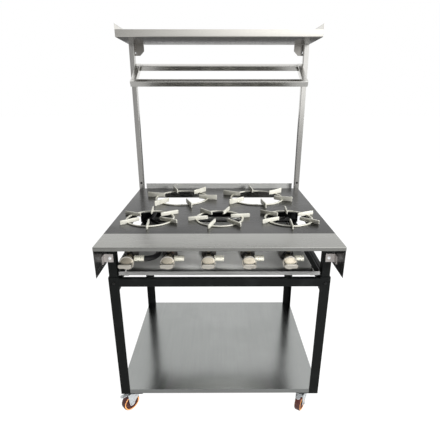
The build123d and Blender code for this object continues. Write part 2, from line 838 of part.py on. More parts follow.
# Gussets between the uprights and the upper shelf
with BuildPart() as gussets:
    for sx in (-1, 1):
        face = sx * upright_inner
        leaf = sx * (upright_inner - gusset_sheet)
        far = sx * (upright_inner - gusset_width)
        low = upper_shelf_under - gusset_height
        near = rear - upright_tube
        slab((min(face, leaf), near, low), (max(face, leaf), rear, upper_shelf_under))
        slab(
            (min(face, far), near, upper_shelf_under - gusset_sheet),
            (max(face, far), rear, upper_shelf_under),
        )
        cut = far + sx * gusset_cut
        with BuildSketch(Plane(origin=(0, rear, 0), x_dir=(1, 0, 0), z_dir=(0, -1, 0))):
            with BuildLine():
                Polyline(
                    (leaf, low),
                    (cut, low),
                    (far, low + gusset_cut),
                    (far, upper_shelf_under),
                    (leaf, upper_shelf_under),
                    close=True,
                )
            make_face()
        extrude(amount=gusset_sheet)
    for face, way, length in gusset_bolts:
        rod(face, along(face, way, length), bolt_shank_radius, mode=Mode.SUBTRACT)
write(gussets, "gussets")

# Seasoning rack: a frame of square tube between the uprights, tilted forward
rack_tilt = atan2(rack_drop, rack_reach)
rack_way = Vector(0, -cos(rack_tilt), -sin(rack_tilt))
rack_length = hypot(rack_drop, rack_reach)
rack_rear = Vector(0, rear - upright_tube / 2 - rack_setback, hob_height + rack_rear_rise)
rack_arm_x = upright_inner - rack_tube / 2
rack_bar_half = upright_inner - rack_tube - weld_gap


def rack_bar(start, way, across, length):
    """Square rack tube from a point along a direction, in the part being built."""
    tube(start, way, across, length, rack_tube, rack_wall)


with BuildPart() as rack_frame:
    for sx in (-1, 1):
        arm_start = rack_rear + Vector(sx * rack_arm_x, 0, 0) - rack_way * (rack_tube / 2)
        rack_bar(arm_start, rack_way, (1, 0, 0), rack_length - weld_gap)
    rack_bar(rack_rear + Vector(-rack_bar_half, 0, 0), (1, 0, 0), rack_way, 2 * rack_bar_half)
    rack_front = rack_rear + rack_way * rack_length
    rack_bar(rack_front + Vector(-upright_inner, 0, 0), (1, 0, 0), rack_way, 2 * upright_inner)
write(rack_frame, "rack_frame")

# Bolts
with BuildPart() as bolts:
    for face, way, length in upright_bolts + gusset_bolts + bracket_bolts + leg_bolts:
        rod(face, along(face, way, -bolt_head_height), bolt_head_radius)
        rod(face, along(face, way, length), bolt_shank_radius)
write(bolts, "bolts")

# Castors
castor_angles = {"front_left": 225, "front_right": 236, "rear_left": 80, "rear_right": 110}
cheek_inner = hub_width / 2 + cheek_gap
cheek_outer = cheek_inner + cheek_thick
plate_top = crown_top - crown_height
plate_under = plate_top - crown_plate
pedal_pin_u = castor_trail + pedal_pin_reach
pedal_pin_z = axle_z + pedal_pin_rise

with BuildPart() as castor_tops:
    for x, y in castor_spots:
        half = castor_top_size / 2
        top_under = castor_height - castor_top_thick
        slab((x - half, y - half, top_under), (x + half, y + half, castor_height))
        rod((x, y, race_bottom), (x, y, top_under), race_radius)
        rod(
            (x, y, race_bottom),
            (x, y, castor_height),
            kingpin_radius + kingpin_clearance,
            mode=Mode.SUBTRACT,
        )
write(castor_tops, "castor_tops")


def castor_fork(braked):
    """Swivel fork about the Z axis with its wheel trailing along +X, and its riveted axle."""
    with BuildPart() as fork:
        rod((0, 0, plate_top), (0, 0, crown_top), race_radius - 1)
        rod((0, 0, crown_top), (0, 0, castor_height - kingpin_top_gap), kingpin_radius)
        slab((-fork_back, -cheek_outer, plate_under), (fork_plate_reach, cheek_outer, plate_top))
        for start in (cheek_outer, -cheek_inner):
            with BuildSketch(Plane(origin=(0, start, 0), x_dir=(1, 0, 0), z_dir=(0, -1, 0))):
                with BuildLine():
                    Polyline(
                        (-fork_back, plate_top),
                        (pedal_pin_u + cheek_margin, plate_top),
                        (pedal_pin_u + cheek_margin, pedal_pin_z - cheek_margin),
                        (castor_trail + cheek_boss_radius, axle_z),
                        (castor_trail - cheek_boss_radius, axle_z),
                        (-fork_back, plate_under - cheek_margin),
                        close=True,
                    )
                make_face()
                with Locations((castor_trail, axle_z)):
                    Circle(cheek_boss_radius)
                    Circle(axle_radius + weld_gap, mode=Mode.SUBTRACT)
            extrude(amount=cheek_thick)
        if braked:
            rod((pedal_pin_u, -cheek_outer, pedal_pin_z), (pedal_pin_u, cheek_outer, pedal_pin_z), pedal_pin_radius)
        head = cheek_outer + weld_gap
        rod((castor_trail, -head, axle_z), (castor_trail, head, axle_z), axle_radius)
        for way in (-1, 1):
            rod(
                (castor_trail, way * head, axle_z),
                (castor_trail, way * (head + axle_head_height), axle_z),
                axle_head_radius,
            )
    return fork.part


with BuildPart() as wheel_shape:
    rod((castor_trail, -wheel_width / 2, axle_z), (castor_trail, wheel_width / 2, axle_z), wheel_diameter / 2)
    fillet(wheel_shape.edges(), wheel_edge)
    for way in (-1, 1):
        rod(
            (castor_trail, way * wheel_width / 2, axle_z),
            (castor_trail, way * (wheel_width / 2 - wheel_side_recess), axle_z),
            wheel_diameter / 2 - wheel_rim,
            mode=Mode.SUBTRACT,
        )
    rod((castor_trail, -hub_width / 2, axle_z), (castor_trail, hub_width / 2, axle_z), hub_radius)
    rod(
        (castor_trail, -hub_width / 2, axle_z),
        (castor_trail, hub_width / 2, axle_z),
        axle_radius + axle_clearance,
        mode=Mode.SUBTRACT,
    )

with BuildPart() as pedal_shape:
    sleeve_half = cheek_inner - pedal_side_gap
    rod((pedal_pin_u, -sleeve_half, pedal_pin_z), (pedal_pin_u, sleeve_half, pedal_pin_z), pedal_sleeve_radius)
    tongue = Plane(origin=(pedal_pin_u, 0, pedal_pin_z)).rotated((0, -pedal_lift, 0))
    with BuildSketch(tongue):
        with Locations((pedal_length / 2, 0)):
            SlotOverall(pedal_length + pedal_width, pedal_width)
    extrude(amount=pedal_thick)
    rod(
        (pedal_pin_u, -sleeve_half, pedal_pin_z),
        (pedal_pin_u, sleeve_half, pedal_pin_z),
        pedal_pin_radius + pedal_pin_clearance,
        mode=Mode.SUBTRACT,
    )

fork_shapes = {"front": castor_fork(True), "rear": castor_fork(False)}
for (name, angle), (x, y) in zip(castor_angles.items(), castor_spots):
    place = Location((x, y, 0), (0, 0, angle))
    row = name.split("_")[0]
    with BuildPart() as fork:
        with Locations(place):
            add(fork_shapes[row])
    write(fork, f"castor_fork_{name}")
    with BuildPart() as wheel:
        with Locations(place):
            add(wheel_shape.part)
    write(wheel, f"castor_wheel_{name}")
    if row == "front":
        with BuildPart() as pedal:
            with Locations(place):
                add(pedal_shape.part)
        write(pedal, f"brake_pedal_{name}")
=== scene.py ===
"""Looks of a free-standing five-burner gas cooker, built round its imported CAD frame.

Lengths are in metres. +Z is up, -Y is the front, and the origin is on the floor under the hob.
"""

from __future__ import annotations

import json
import logging
import math
from collections.abc import Sequence
from dataclasses import dataclass
from enum import Enum
from typing import Any, Union

import bmesh
import bpy
import numpy as np
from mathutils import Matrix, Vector

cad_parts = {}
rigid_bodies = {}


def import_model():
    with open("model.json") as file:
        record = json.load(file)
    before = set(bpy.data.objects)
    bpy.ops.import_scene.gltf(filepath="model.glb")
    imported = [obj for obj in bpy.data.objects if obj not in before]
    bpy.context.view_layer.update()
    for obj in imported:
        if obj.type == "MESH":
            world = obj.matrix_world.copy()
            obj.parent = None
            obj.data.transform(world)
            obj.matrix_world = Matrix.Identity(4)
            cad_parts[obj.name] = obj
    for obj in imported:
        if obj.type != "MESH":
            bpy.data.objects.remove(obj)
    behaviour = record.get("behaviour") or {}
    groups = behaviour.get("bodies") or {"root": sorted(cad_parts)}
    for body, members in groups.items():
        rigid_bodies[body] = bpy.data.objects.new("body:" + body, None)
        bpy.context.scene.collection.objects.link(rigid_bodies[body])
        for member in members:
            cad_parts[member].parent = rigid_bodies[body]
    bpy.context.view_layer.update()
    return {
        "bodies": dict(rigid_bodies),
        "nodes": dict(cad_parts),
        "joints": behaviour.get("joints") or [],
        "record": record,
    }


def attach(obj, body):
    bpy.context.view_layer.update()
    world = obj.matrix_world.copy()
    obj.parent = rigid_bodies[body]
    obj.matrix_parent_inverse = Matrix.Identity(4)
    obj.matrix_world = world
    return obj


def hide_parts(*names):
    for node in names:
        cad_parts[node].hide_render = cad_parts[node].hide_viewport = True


LOG = logging.getLogger("cooker")
Pair = tuple[float, float]
Triple = tuple[float, float, float]
Colour = tuple[float, float, float, float]
Number = Union[float, "Ink"]
Inputs = dict[Union[str, int], Any]
MERGE_DISTANCE = 2e-6
SLIVER_LENGTH = 1e-7
STREAK_NOISE = (1.0, 3.0)
WHITE = (1.0, 1.0, 1.0, 1.0)
EDGE_STEPS = 4
LEAST_POINTS = 8
VALVE_COUNT = 5
VALVE_FIRST = -0.339
VALVE_PITCH = 0.149
VALVE_HEIGHT = 0.724
VALVES = tuple(VALVE_FIRST + VALVE_PITCH * k for k in range(VALVE_COUNT))
CASTOR_X = 0.3685
CASTOR_Y = (-0.252, 0.321)


class Ink:
    """A value socket of a material that takes part in Python sums."""

    def __init__(self, tree: Tree, socket: bpy.types.NodeSocket) -> None:
        """Keep the socket and the tree that it is in."""
        self.tree = tree
        self.socket = socket

    def _sum(self, operation: str, left: Number, right: Number) -> Ink:
        """Add one Math node of that operation."""
        return self.tree.add("ShaderNodeMath", {"operation": operation}, {0: left, 1: right})

    def __add__(self, other: Number) -> Ink:
        """Sum of two values."""
        return self._sum("ADD", self, other)

    def __radd__(self, other: Number) -> Ink:
        """Sum of two values."""
        return self._sum("ADD", other, self)

    def __sub__(self, other: Number) -> Ink:
        """This value less another."""
        return self._sum("SUBTRACT", self, other)

    def __rsub__(self, other: Number) -> Ink:
        """Another value less this one."""
        return self._sum("SUBTRACT", other, self)

    def __mul__(self, other: Number) -> Ink:
        """Product of two values."""
        return self._sum("MULTIPLY", self, other)

    def __gt__(self, other: Number) -> Ink:
        """One where this value is the greater, and nought elsewhere."""
        return self._sum("GREATER_THAN", self, other)

    def wrapped(self, step: float) -> Ink:
        """What is left of this value past its last whole step."""
        return self._sum("FLOORED_MODULO", self, step)

    def most(self, other: Number) -> Ink:
        """The greater of two values."""
        return self._sum("MAXIMUM", self, other)

    def least(self, other: Number) -> Ink:
        """The lesser of two values."""
        return self._sum("MINIMUM", self, other)


class Tree:
    """A node tree to which nodes are added by expressions."""

    def __init__(self, tree: bpy.types.NodeTree) -> None:
        """Keep the node tree of a material or a world."""
        self.tree = tree

    def add(
        self,
        kind: str,
        settings: dict[str, Any],
        inputs: Inputs,
        output: Union[str, int] = 0,
    ) -> Ink:
        """Add a node, set it up, and feed its sockets.

        Args:
            kind: the node's type.
            settings: properties to set first.
            inputs: values or links of its sockets, by name or number.
            output: the socket to hand back.

        Returns:
            The chosen output.
        """
        node = self.tree.nodes.new(kind)
        for key, value in settings.items():
            setattr(node, key, value)
        self._feed(node, inputs)
        return Ink(self, node.outputs[output])

    def _feed(self, node: bpy.types.Node, inputs: Inputs) -> None:
        """Link or set a node's sockets.

        Args:
            node: the node.
            inputs: values or links of its sockets, by name or number.
        """
        for key, value in inputs.items():
            if isinstance(value, Ink):
                self.tree.links.new(value.socket, node.inputs[key])
            else:
                node.inputs[key].default_value = value

    def place(self, scale: Triple = (1.0, 1.0, 1.0)) -> Ink:
        """Object coordinates, stretched by a scale along each axis."""
        here = self.add("ShaderNodeTexCoord", {}, {}, "Object")
        return self.add("ShaderNodeMapping", {}, {"Vector": here, "Scale": scale})

    def noise(self, cloud: Pair, where: Ink) -> Ink:
        """Cloudy noise from nought to one, by its scale and detail."""
        return self.add("ShaderNodeTexNoise", {}, {"Vector": where, "Scale": cloud[0], "Detail": cloud[1]})

    def cells(self, scale: float, where: Ink) -> Ink:
        """One grey value for each cell of a scatter of cells."""
        colour = self.add("ShaderNodeTexVoronoi", {}, {"Vector": where, "Scale": scale}, "Color")
        return self.add("ShaderNodeSeparateColor", {}, {"Color": colour})

    def ramp(self, value: Ink, levels: Pair) -> Ink:
        """Smooth step of a value between two levels."""
        inputs = {"Value": value, "From Min": levels[0], "From Max": levels[1]}
        return self.add("ShaderNodeMapRange", {"interpolation_type": "SMOOTHSTEP"}, inputs)

    def tint(self, mask: Number, first: Any, second: Any) -> Ink:
        """Mix of two colours by a mask."""
        return self.add("ShaderNodeMix", {"data_type": "RGBA"}, {0: mask, 6: first, 7: second}, 2)

    def bump(self, height: Ink, bumps: Pair) -> Ink:
        """Bumps by their depth in metres and their strength."""
        inputs = {"Height": height, "Distance": bumps[0], "Strength": bumps[1]}
        return self.add("ShaderNodeBump", {}, inputs)

    def part(self, vector: Ink, axis: str) -> Ink:
        """One of a vector's three parts."""
        return self.add("ShaderNodeSeparateXYZ", {}, {"Vector": vector}, axis)

    def ray(self, kind: str) -> Ink:
        """One where the ray is of that kind, and nought elsewhere."""
        return self.add("ShaderNodeLightPath", {}, {}, kind)


class Bench(Tree):
    """The node tree of one material, with its shader ready to be fed."""

    def __init__(self, name: str) -> None:
        """Start a material of that name with a bare shader.

        Args:
            name: the material's name.
        """
        self.material = bpy.data.materials.new(name)
        self.material.use_nodes = True
        super().__init__(self.material.node_tree)
        self.tree.nodes.clear()
        self.shader = self.tree.nodes.new("ShaderNodeBsdfPrincipled")
        out = self.tree.nodes.new("ShaderNodeOutputMaterial")
        self.tree.links.new(self.shader.outputs[0], out.inputs["Surface"])

    def surface(self, inputs: Inputs) -> bpy.types.Material:
        """Feed the shader and hand back the material."""
        self._feed(self.shader, inputs)
        return self.material

    def finish(
        self,
        colour: Ink,
        metallic: Number,
        rough: Ink,
        height: Ink,
        bumps: Pair,
    ) -> bpy.types.Material:
        """Feed the usual sockets, with bumps from a height, and hand back the material."""
        sockets = {"Base Color": colour, "Metallic": metallic, "Roughness": rough}
        return self.surface({**sockets, "Normal": self.bump(height, bumps)})


def shade(red: float, green: float, blue: float, factor: float = 1.0) -> Colour:
    """A colour, made darker or lighter by a factor."""
    return (red * factor, green * factor, blue * factor, 1.0)


class Grain(Enum):
    """The way in which a sheet or tube was brushed, as the noise's scale along X, Y and Z."""

    ALONG_X = (5.0, 420.0, 420.0)
    ALONG_Y = (420.0, 5.0, 420.0)
    ALONG_Z = (420.0, 420.0, 5.0)

    def streak(self, bench: Bench) -> Ink:
        """Noise drawn out along the grain."""
        return bench.noise(STREAK_NOISE, bench.place(self.value))


@dataclass(frozen=True)
class BrushedSteel:
    """Stainless steel with a fine grain one way and faint wiped patches."""

    name: str
    colour: Triple
    grain: Grain
    roughness: float = 0.28
    metallic: float = 1.0
    # A lighter tone above a height, painted light; what lies below keeps the darker tone as painted shade.
    lit_tone_above: Triple | None = None
    lit_tone_from: float = 0.0
    raised_dull: float = 0.0
    spread: float = 0.06
    smear: float = 0.03
    smear_levels: Pair = (0.3, 0.7)
    wipes: Pair = (4.0, 4.0)
    wipe_levels: Pair = (0.4, 0.7)
    wipe_share: float = 0.06
    wipe_dull: float = 0.6
    sheen: float = 0.8
    bumps: Pair = (0.00002, 0.1)

    def tone(self, bench: Bench, streak: Ink, colour: Triple) -> Ink:
        """A colour with its grain, a little darker and lighter along the streaks."""
        pale, dark = shade(*colour, 1.0 + self.smear), shade(*colour, 1.0 - self.smear)
        return bench.tint(bench.ramp(streak, self.smear_levels), dark, pale)

    def make(self) -> bpy.types.Material:
        """Make the material: the grain drives roughness and bump, and height can part two tones, the lighter
        one above as painted light.

        Returns:
            The new material.
        """
        bench = Bench(self.name)
        where = bench.place()
        streak = self.grain.streak(bench)
        wipe = bench.ramp(bench.noise(self.wipes, where), self.wipe_levels)
        colour = self.tone(bench, streak, self.colour)
        metallic: Number = self.metallic
        if self.lit_tone_above is not None:
            # Above the height, the lighter tone: painted light and shade on one steel.
            above = bench.part(where, "Z") > self.lit_tone_from
            colour = bench.tint(above, colour, self.tone(bench, streak, self.lit_tone_above))
            metallic = self.metallic - above * self.raised_dull
        dull = streak * self.spread + wipe * (self.spread * self.wipe_dull)
        colour = bench.tint(wipe * self.wipe_share, colour, WHITE)
        rough = dull + (self.roughness - self.spread * self.sheen)
        return bench.finish(colour, metallic, rough, streak, self.bumps)


@dataclass(frozen=True)
class TraySteel:
    """Dull tray steel: a pale floor with painted shade towards the sides, a greyer front lip whose tone is
    painted shade, and a band of painted shade along the bend behind the lip.
    """

    name: str
    floor: Triple = (0.86, 0.86, 0.83)
    # Painted shade: the front lip is far darker than the floor of the same sheet.
    lip: Triple = (0.12, 0.12, 0.117)
    # Colour, span and share of the band of painted shade along the bend behind the lip.
    bend_shade: Triple = (0.02, 0.02, 0.019)
    lip_shade_from: float = -0.2985
    bend_shade_start: Pair = (-0.2765, -0.2745)
    bend_shade_end: Pair = (-0.2575, -0.2515)
    bend_shade_share: float = 0.9
    frays: Pair = (30.0, 3.0)
    fray_along: float = 0.003
    fray_across: float = 0.06
    stains: Pair = (9.0, 4.0)
    stain_levels: Pair = (0.5, 0.8)
    stain_share: float = 0.15
    # Painted shade towards both sides of the floor: its levels, share and tone.
    side_shade_levels: Pair = (0.10, 0.34)
    side_shade_share: float = 0.8
    side_shade_tone: float = 0.3
    metallic: float = 0.12
    roughness: float = 0.34
    streak_dull: float = 0.08
    stain_dull: float = 0.2
    bumps: Pair = (0.00002, 0.15)

    def make(self) -> bpy.types.Material:
        """Make the material: the place along Y parts lip, band of painted shade and floor, the place along X
        gives the painted shade at the sides, and noise frays both.

        Returns:
            The new material.
        """
        bench = Bench(self.name)
        where = bench.place()
        streak = Grain.ALONG_X.streak(bench)
        fray = bench.noise(self.frays, where)
        stain = bench.ramp(bench.noise(self.stains, where), self.stain_levels)
        along, across = bench.part(where, "Y"), bench.part(where, "X")
        edge = along + fray * self.fray_along
        # A band of painted shade along the bend behind the lip.
        bend_shaded = bench.ramp(edge, self.bend_shade_start) * (1.0 - bench.ramp(edge, self.bend_shade_end))
        # Darker towards both sides: painted shade, mixed below with the real stains.
        sides = bench.ramp(across.most(across * -1.0) + fray * self.fray_across, self.side_shade_levels)
        stain_and_side_shade = stain * self.stain_share + sides * self.side_shade_share
        floor = bench.tint(stain_and_side_shade, shade(*self.floor), shade(*self.floor, self.side_shade_tone))
        inside = bench.tint(bend_shaded * self.bend_shade_share, floor, shade(*self.bend_shade))
        # The front lip's darker tone is painted shade.
        colour = bench.tint(along > self.lip_shade_from, shade(*self.lip), inside)
        rough = streak * self.streak_dull + stain * self.stain_dull + self.roughness
        return bench.finish(colour, self.metallic, rough, streak, self.bumps)


@dataclass(frozen=True)
class Texture:
    """Cloud and skin noise by scale and detail, levels of the patches, bumps, dulling, metal and specular.

    The shares of dulling are the cloud's, the patches' and the skin's.
    """

    cloud: Pair
    skin: Pair
    levels: Pair
    bumps: Pair
    dulling: Triple
    metallic: float = 0.0
    specular: float = 0.5


class Coat(Enum):
    """Kinds of two-toned finish, from dusty paint to scuffed plastic."""

    PAINT = Texture(
        cloud=(14.0, 5.0),
        skin=(650.0, 2.0),
        levels=(0.5, 0.85),
        bumps=(0.0001, 0.3),
        dulling=(0.0, 0.25, 0.08),
        specular=0.08,
    )
    PLATING = Texture(
        cloud=(24.0, 4.0),
        skin=(420.0, 3.0),
        levels=(0.48, 0.74),
        bumps=(0.00025, 0.35),
        dulling=(0.2, 0.0, 0.08),
        metallic=0.4,
    )
    IRON = Texture(
        cloud=(30.0, 5.0),
        skin=(380.0, 4.0),
        levels=(0.55, 0.78),
        bumps=(0.0005, 0.5),
        dulling=(0.0, 0.2, 0.2),
        metallic=0.5,
    )
    METAL = Texture(
        cloud=(60.0, 4.0),
        skin=(900.0, 2.0),
        levels=(0.45, 0.8),
        bumps=(0.00005, 0.3),
        dulling=(0.0, 0.16, 0.06),
        metallic=1.0,
    )
    MOULDED = Texture(
        cloud=(70.0, 5.0),
        skin=(800.0, 2.0),
        levels=(0.5, 0.8),
        bumps=(0.0001, 0.35),
        dulling=(0.0, 0.2, 0.08),
    )


@dataclass(frozen=True)
class Mottled:
    """A finish of two tones: cloudy noise mixes them and dulls the shine, and fine noise gives the skin."""

    name: str
    coat: Coat
    colour: Triple
    patch: Triple
    roughness: float
    share: float = 0.4

    def make(self) -> bpy.types.Material:
        """Make the material: roughness is a sum of the cloud, its patches and the skin.

        Returns:
            The new material.
        """
        bench = Bench(self.name)
        texture = self.coat.value
        where = bench.place()
        cloud, skin = bench.noise(texture.cloud, where), bench.noise(texture.skin, where)
        mask = bench.ramp(cloud, texture.levels)
        by_cloud, by_patch, by_skin = texture.dulling
        rough = cloud * by_cloud + mask * by_patch + skin * by_skin + self.roughness
        colour = bench.tint(mask * self.share, shade(*self.colour), shade(*self.patch))
        bench.surface({"Specular IOR Level": texture.specular})
        return bench.finish(colour, texture.metallic, rough, skin, texture.bumps)


@dataclass(frozen=True)
class ValveMetal:
    """Dull bronze valve bodies in a row, each with a bright plated union on its right."""

    name: str
    bronze: Triple = (0.15, 0.125, 0.085)
    bright: Triple = (0.88, 0.86, 0.74)
    first: float = VALVE_FIRST
    pitch: float = VALVE_PITCH
    union: Pair = (0.0205, 0.0585)
    cloud: Pair = (70.0, 4.0)
    levels: Pair = (0.45, 0.8)
    bronze_stain: Pair = (0.5, 0.5)
    bright_stain: Pair = (0.35, 0.7)
    metallic: float = 0.75
    roughness: float = 0.24
    stain_dull: float = 0.14
    cloud_dull: float = 0.08
    bumps: Pair = (0.0001, 0.25)

    def make(self) -> bpy.types.Material:
        """Make the material: the place along the row, past each valve, tells union from body.

        Returns:
            The new material.
        """
        bench = Bench(self.name)
        where = bench.place()
        cloud = bench.noise(self.cloud, where)
        past = (bench.part(where, "X") - self.first).wrapped(self.pitch)
        plated = (past > self.union[0]) * (1.0 - (past > self.union[1]))
        stain = bench.ramp(cloud, self.levels)
        body, union = (
            bench.tint(stain * share, shade(*colour), shade(*colour, tone))
            for colour, (share, tone) in ((self.bronze, self.bronze_stain), (self.bright, self.bright_stain))
        )
        colour = bench.tint(plated, body, union)
        rough = stain * self.stain_dull + cloud * self.cloud_dull + self.roughness
        return bench.finish(colour, self.metallic, rough, cloud, self.bumps)


@dataclass(frozen=True)
class ZincPlate:
    """Bright zinc plating with a faint spangle."""

    name: str
    colour: Triple = (0.86, 0.87, 0.88)
    spangles: float = 260.0
    spangle_share: float = 0.3
    spangle_tone: float = 0.8
    cloud: Pair = (40.0, 3.0)
    metallic: float = 0.7
    roughness: float = 0.2
    spangle_dull: float = 0.1
    cloud_dull: float = 0.14
    bumps: Pair = (0.0001, 0.2)

    def make(self) -> bpy.types.Material:
        """Make the material: cells of noise give each spangle its own tone and shine.

        Returns:
            The new material.
        """
        bench = Bench(self.name)
        where = bench.place()
        spangle = bench.cells(self.spangles, where)
        cloud = bench.noise(self.cloud, where)
        pale, dark = shade(*self.colour), shade(*self.colour, self.spangle_tone)
        colour = bench.tint(spangle * self.spangle_share, pale, dark)
        rough = spangle * self.spangle_dull + cloud * self.cloud_dull + self.roughness
        return bench.finish(colour, self.metallic, rough, cloud, self.bumps)


class Finishes:
    """Every finish on the cooker, each made once."""

    def __init__(self) -> None:
        """Make the materials."""
        along_x, along_y, along_z = Grain
        # The hob's upstand takes a much lighter tone than the flat of the same plate: painted light,
        # standing in for its brighter reflection.
        self.hob = BrushedSteel(
            "hob_steel",
            (0.044, 0.044, 0.043),
            along_x,
            lit_tone_above=(0.50, 0.50, 0.485),
            lit_tone_from=0.8223,
            raised_dull=0.5,
        ).make()
        self.panel = BrushedSteel("panel_steel", (0.39, 0.39, 0.37), along_x).make()
        # The skirts' steel is painted very dark: painted shade for their inner faces under the hob.
        self.skirt = BrushedSteel("skirt_steel", (0.055, 0.055, 0.054), along_y, metallic=0.85).make()
        # The top shelf's underside keeps the darker tone as painted shade, and everything above it the
        # lighter tone.
        self.fascia = BrushedSteel(
            "fascia_steel",
            (0.34, 0.33, 0.31),
            along_x,
            roughness=0.24,
            lit_tone_above=(0.79, 0.77, 0.72),
            lit_tone_from=1.5243,
        ).make()
        self.shelf = BrushedSteel("shelf_steel", (0.35, 0.362, 0.354), along_y, roughness=0.2).make()
        self.tray = TraySteel("tray_steel").make()
        self.upright = BrushedSteel("upright_steel", (0.56, 0.55, 0.527), along_z, roughness=0.22).make()
        # The gussets' steel is painted darker than the uprights', as painted shade.
        self.gusset = BrushedSteel("gusset_steel", (0.35, 0.335, 0.31), along_z, roughness=0.3).make()
        self.rack = BrushedSteel("rack_steel", (0.72, 0.71, 0.68), along_x, roughness=0.22).make()
        self.bracket = ZincPlate("bracket_zinc", (0.40, 0.375, 0.36)).make()
        self.castor = ZincPlate("castor_zinc", (0.50, 0.52, 0.53)).make()
        self.black = Mottled(
            "black_paint",
            Coat.PAINT,
            (0.0036, 0.0039, 0.0038),
            patch=(0.00864, 0.00936, 0.00912),
            roughness=0.30,
            share=0.6,
        ).make()
        self.plated = Mottled(
            "plated_iron",
            Coat.PLATING,
            (0.62, 0.61, 0.54),
            patch=(0.24, 0.235, 0.17),
            roughness=0.18,
            share=0.5,
        ).make()
        self.iron = Mottled(
            "burner_iron",
            Coat.IRON,
            (0.045, 0.043, 0.04),
            patch=(0.10, 0.055, 0.03),
            roughness=0.5,
            share=0.6,
        ).make()
        self.brass = Mottled(
            "inlet_brass",
            Coat.METAL,
            (0.80, 0.71, 0.48),
            patch=(0.45, 0.34, 0.17),
            roughness=0.2,
        ).make()
        self.valve = ValveMetal("valve_brass").make()
        self.knob = Mottled(
            "knob_chrome",
            Coat.METAL,
            (0.82, 0.78, 0.70),
            patch=(0.62, 0.55, 0.44),
            roughness=0.12,
            share=0.3,
        ).make()
        self.pipe = Mottled(
            "pipe_steel",
            Coat.METAL,
            (0.30, 0.30, 0.30),
            patch=(0.16, 0.14, 0.12),
            roughness=0.32,
        ).make()
        self.dark = Mottled(
            "dark_steel",
            Coat.METAL,
            (0.05, 0.05, 0.05),
            patch=(0.09, 0.07, 0.05),
            roughness=0.3,
        ).make()
        self.zinc = ZincPlate("zinc").make()
        self.rubber = Mottled(
            "hose_rubber",
            Coat.MOULDED,
            (0.004, 0.004, 0.0042),
            patch=(0.012, 0.012, 0.012),
            roughness=0.5,
            share=0.35,
        ).make()
        self.tread = Mottled(
            "wheel_tread",
            Coat.MOULDED,
            (0.045, 0.014, 0.012),
            patch=(0.09, 0.035, 0.025),
            roughness=0.34,
            share=0.35,
        ).make()
        self.rim = Mottled(
            "wheel_rim",
            Coat.MOULDED,
            (0.42, 0.19, 0.06),
            patch=(0.26, 0.10, 0.05),
            roughness=0.32,
            share=0.35,
        ).make()
        self.hub = Mottled(
            "wheel_hub",
            Coat.MOULDED,
            (0.03, 0.008, 0.007),
            patch=(0.07, 0.03, 0.025),
            roughness=0.36,
            share=0.35,
        ).make()


def grid_faces(rows: int, columns: int, wrap_rows: bool, wrap_columns: bool) -> np.ndarray:
    """Quads of a grid of points, row by row, joined end to start where it wraps.

    Args:
        rows: number of rows of points.
        columns: number of points in a row.
        wrap_rows: whether the last row joins the first.
        wrap_columns: whether each row's last point joins its first.

    Returns:
        Corner numbers of the quads, four to a row.
    """
    i = np.arange(rows if wrap_rows else rows - 1)
    j = np.arange(columns if wrap_columns else columns - 1)
    i, j = (a.ravel() for a in np.meshgrid(i, j, indexing="ij"))
    below, beside = (i + 1) % rows, (j + 1) % columns
    corners = (i * columns + j, i * columns + beside, below * columns + beside, below * columns + j)
    return np.stack(corners, axis=1)


class Shell:
    """Patches of surface that together make one piece."""

    def __init__(self, sharp: float = 32.0) -> None:
        """Start with no patch.

        Args:
            sharp: the angle in degrees past which an edge stays sharp.
        """
        self.sharp = sharp
        self.points: list[np.ndarray] = []
        self.faces: list[np.ndarray] = []
        self.count = 0

    def patch(self, grid: np.ndarray, wrap_rows: bool = False, wrap_columns: bool = True) -> None:
        """Add a grid of points, in metres.

        Args:
            grid: the points, as rows by columns by three.
            wrap_rows: whether the last row joins the first.
            wrap_columns: whether each row closes on itself.
        """
        rows, columns = grid.shape[:2]
        self.points.append(grid.reshape(-1, 3))
        self.faces.append(grid_faces(rows, columns, wrap_rows, wrap_columns) + self.count)
        self.count += rows * columns

    def lid(self, loop: np.ndarray) -> None:
        """Close a loop of points, whose middle sees all of it, by rows that shrink to its middle."""
        middle = np.broadcast_to(loop.mean(axis=0), loop.shape)
        self.patch(np.stack([loop, middle]))

    def solid(self, grid: np.ndarray) -> None:
        """Add a grid of closed rows with a lid on its first and last row.

        Args:
            grid: the points, as rows by columns by three.
        """
        self.patch(grid)
        self.lid(grid[0])
        self.lid(grid[-1])

    def sheet(self, path: np.ndarray, thickness: float, start: float, end: float) -> None:
        """Add a folded sheet: a path of Y and Z points carried along X, with both ends closed.

        Args:
            path: the middle of the sheet's section.
            thickness: the sheet's thickness.
            start: X of one end.
            end: X of the other end.
        """
        section = thicken(path, thickness)
        self.patch(straight_run(section, start, end))
        sides = np.stack([section[: len(path)], section[len(path) :][::-1]], axis=1)
        for x in (start, end):
            across = np.full(sides.shape[:2] + (1,), x)
            self.patch(np.concatenate([across, sides], axis=-1), wrap_columns=False)

    def build(self, name: str, finish: bpy.types.Material) -> bpy.types.Object:
        """Make the piece, with its doubles merged and its faces turned outwards.

        Args:
            name: the piece's name.
            finish: its material.

        Returns:
            The new object, in the scene.
        """
        mesh = bpy.data.meshes.new(name)
        mesh.from_pydata(np.concatenate(self.points).tolist(), [], np.concatenate(self.faces).tolist())
        work = bmesh.new()
        work.from_mesh(mesh)
        bmesh.ops.remove_doubles(work, verts=work.verts, dist=MERGE_DISTANCE)
        bmesh.ops.dissolve_degenerate(work, edges=work.edges, dist=SLIVER_LENGTH)
        bmesh.ops.recalc_face_normals(work, faces=work.faces)
        work.to_mesh(mesh)
        work.free()
        mesh.shade_smooth()
        mesh.set_sharp_from_angle(angle=math.radians(self.sharp))
        mesh.materials.append(finish)
        piece = bpy.data.objects.new(name, mesh)
        bpy.context.scene.collection.objects.link(piece)
        return piece


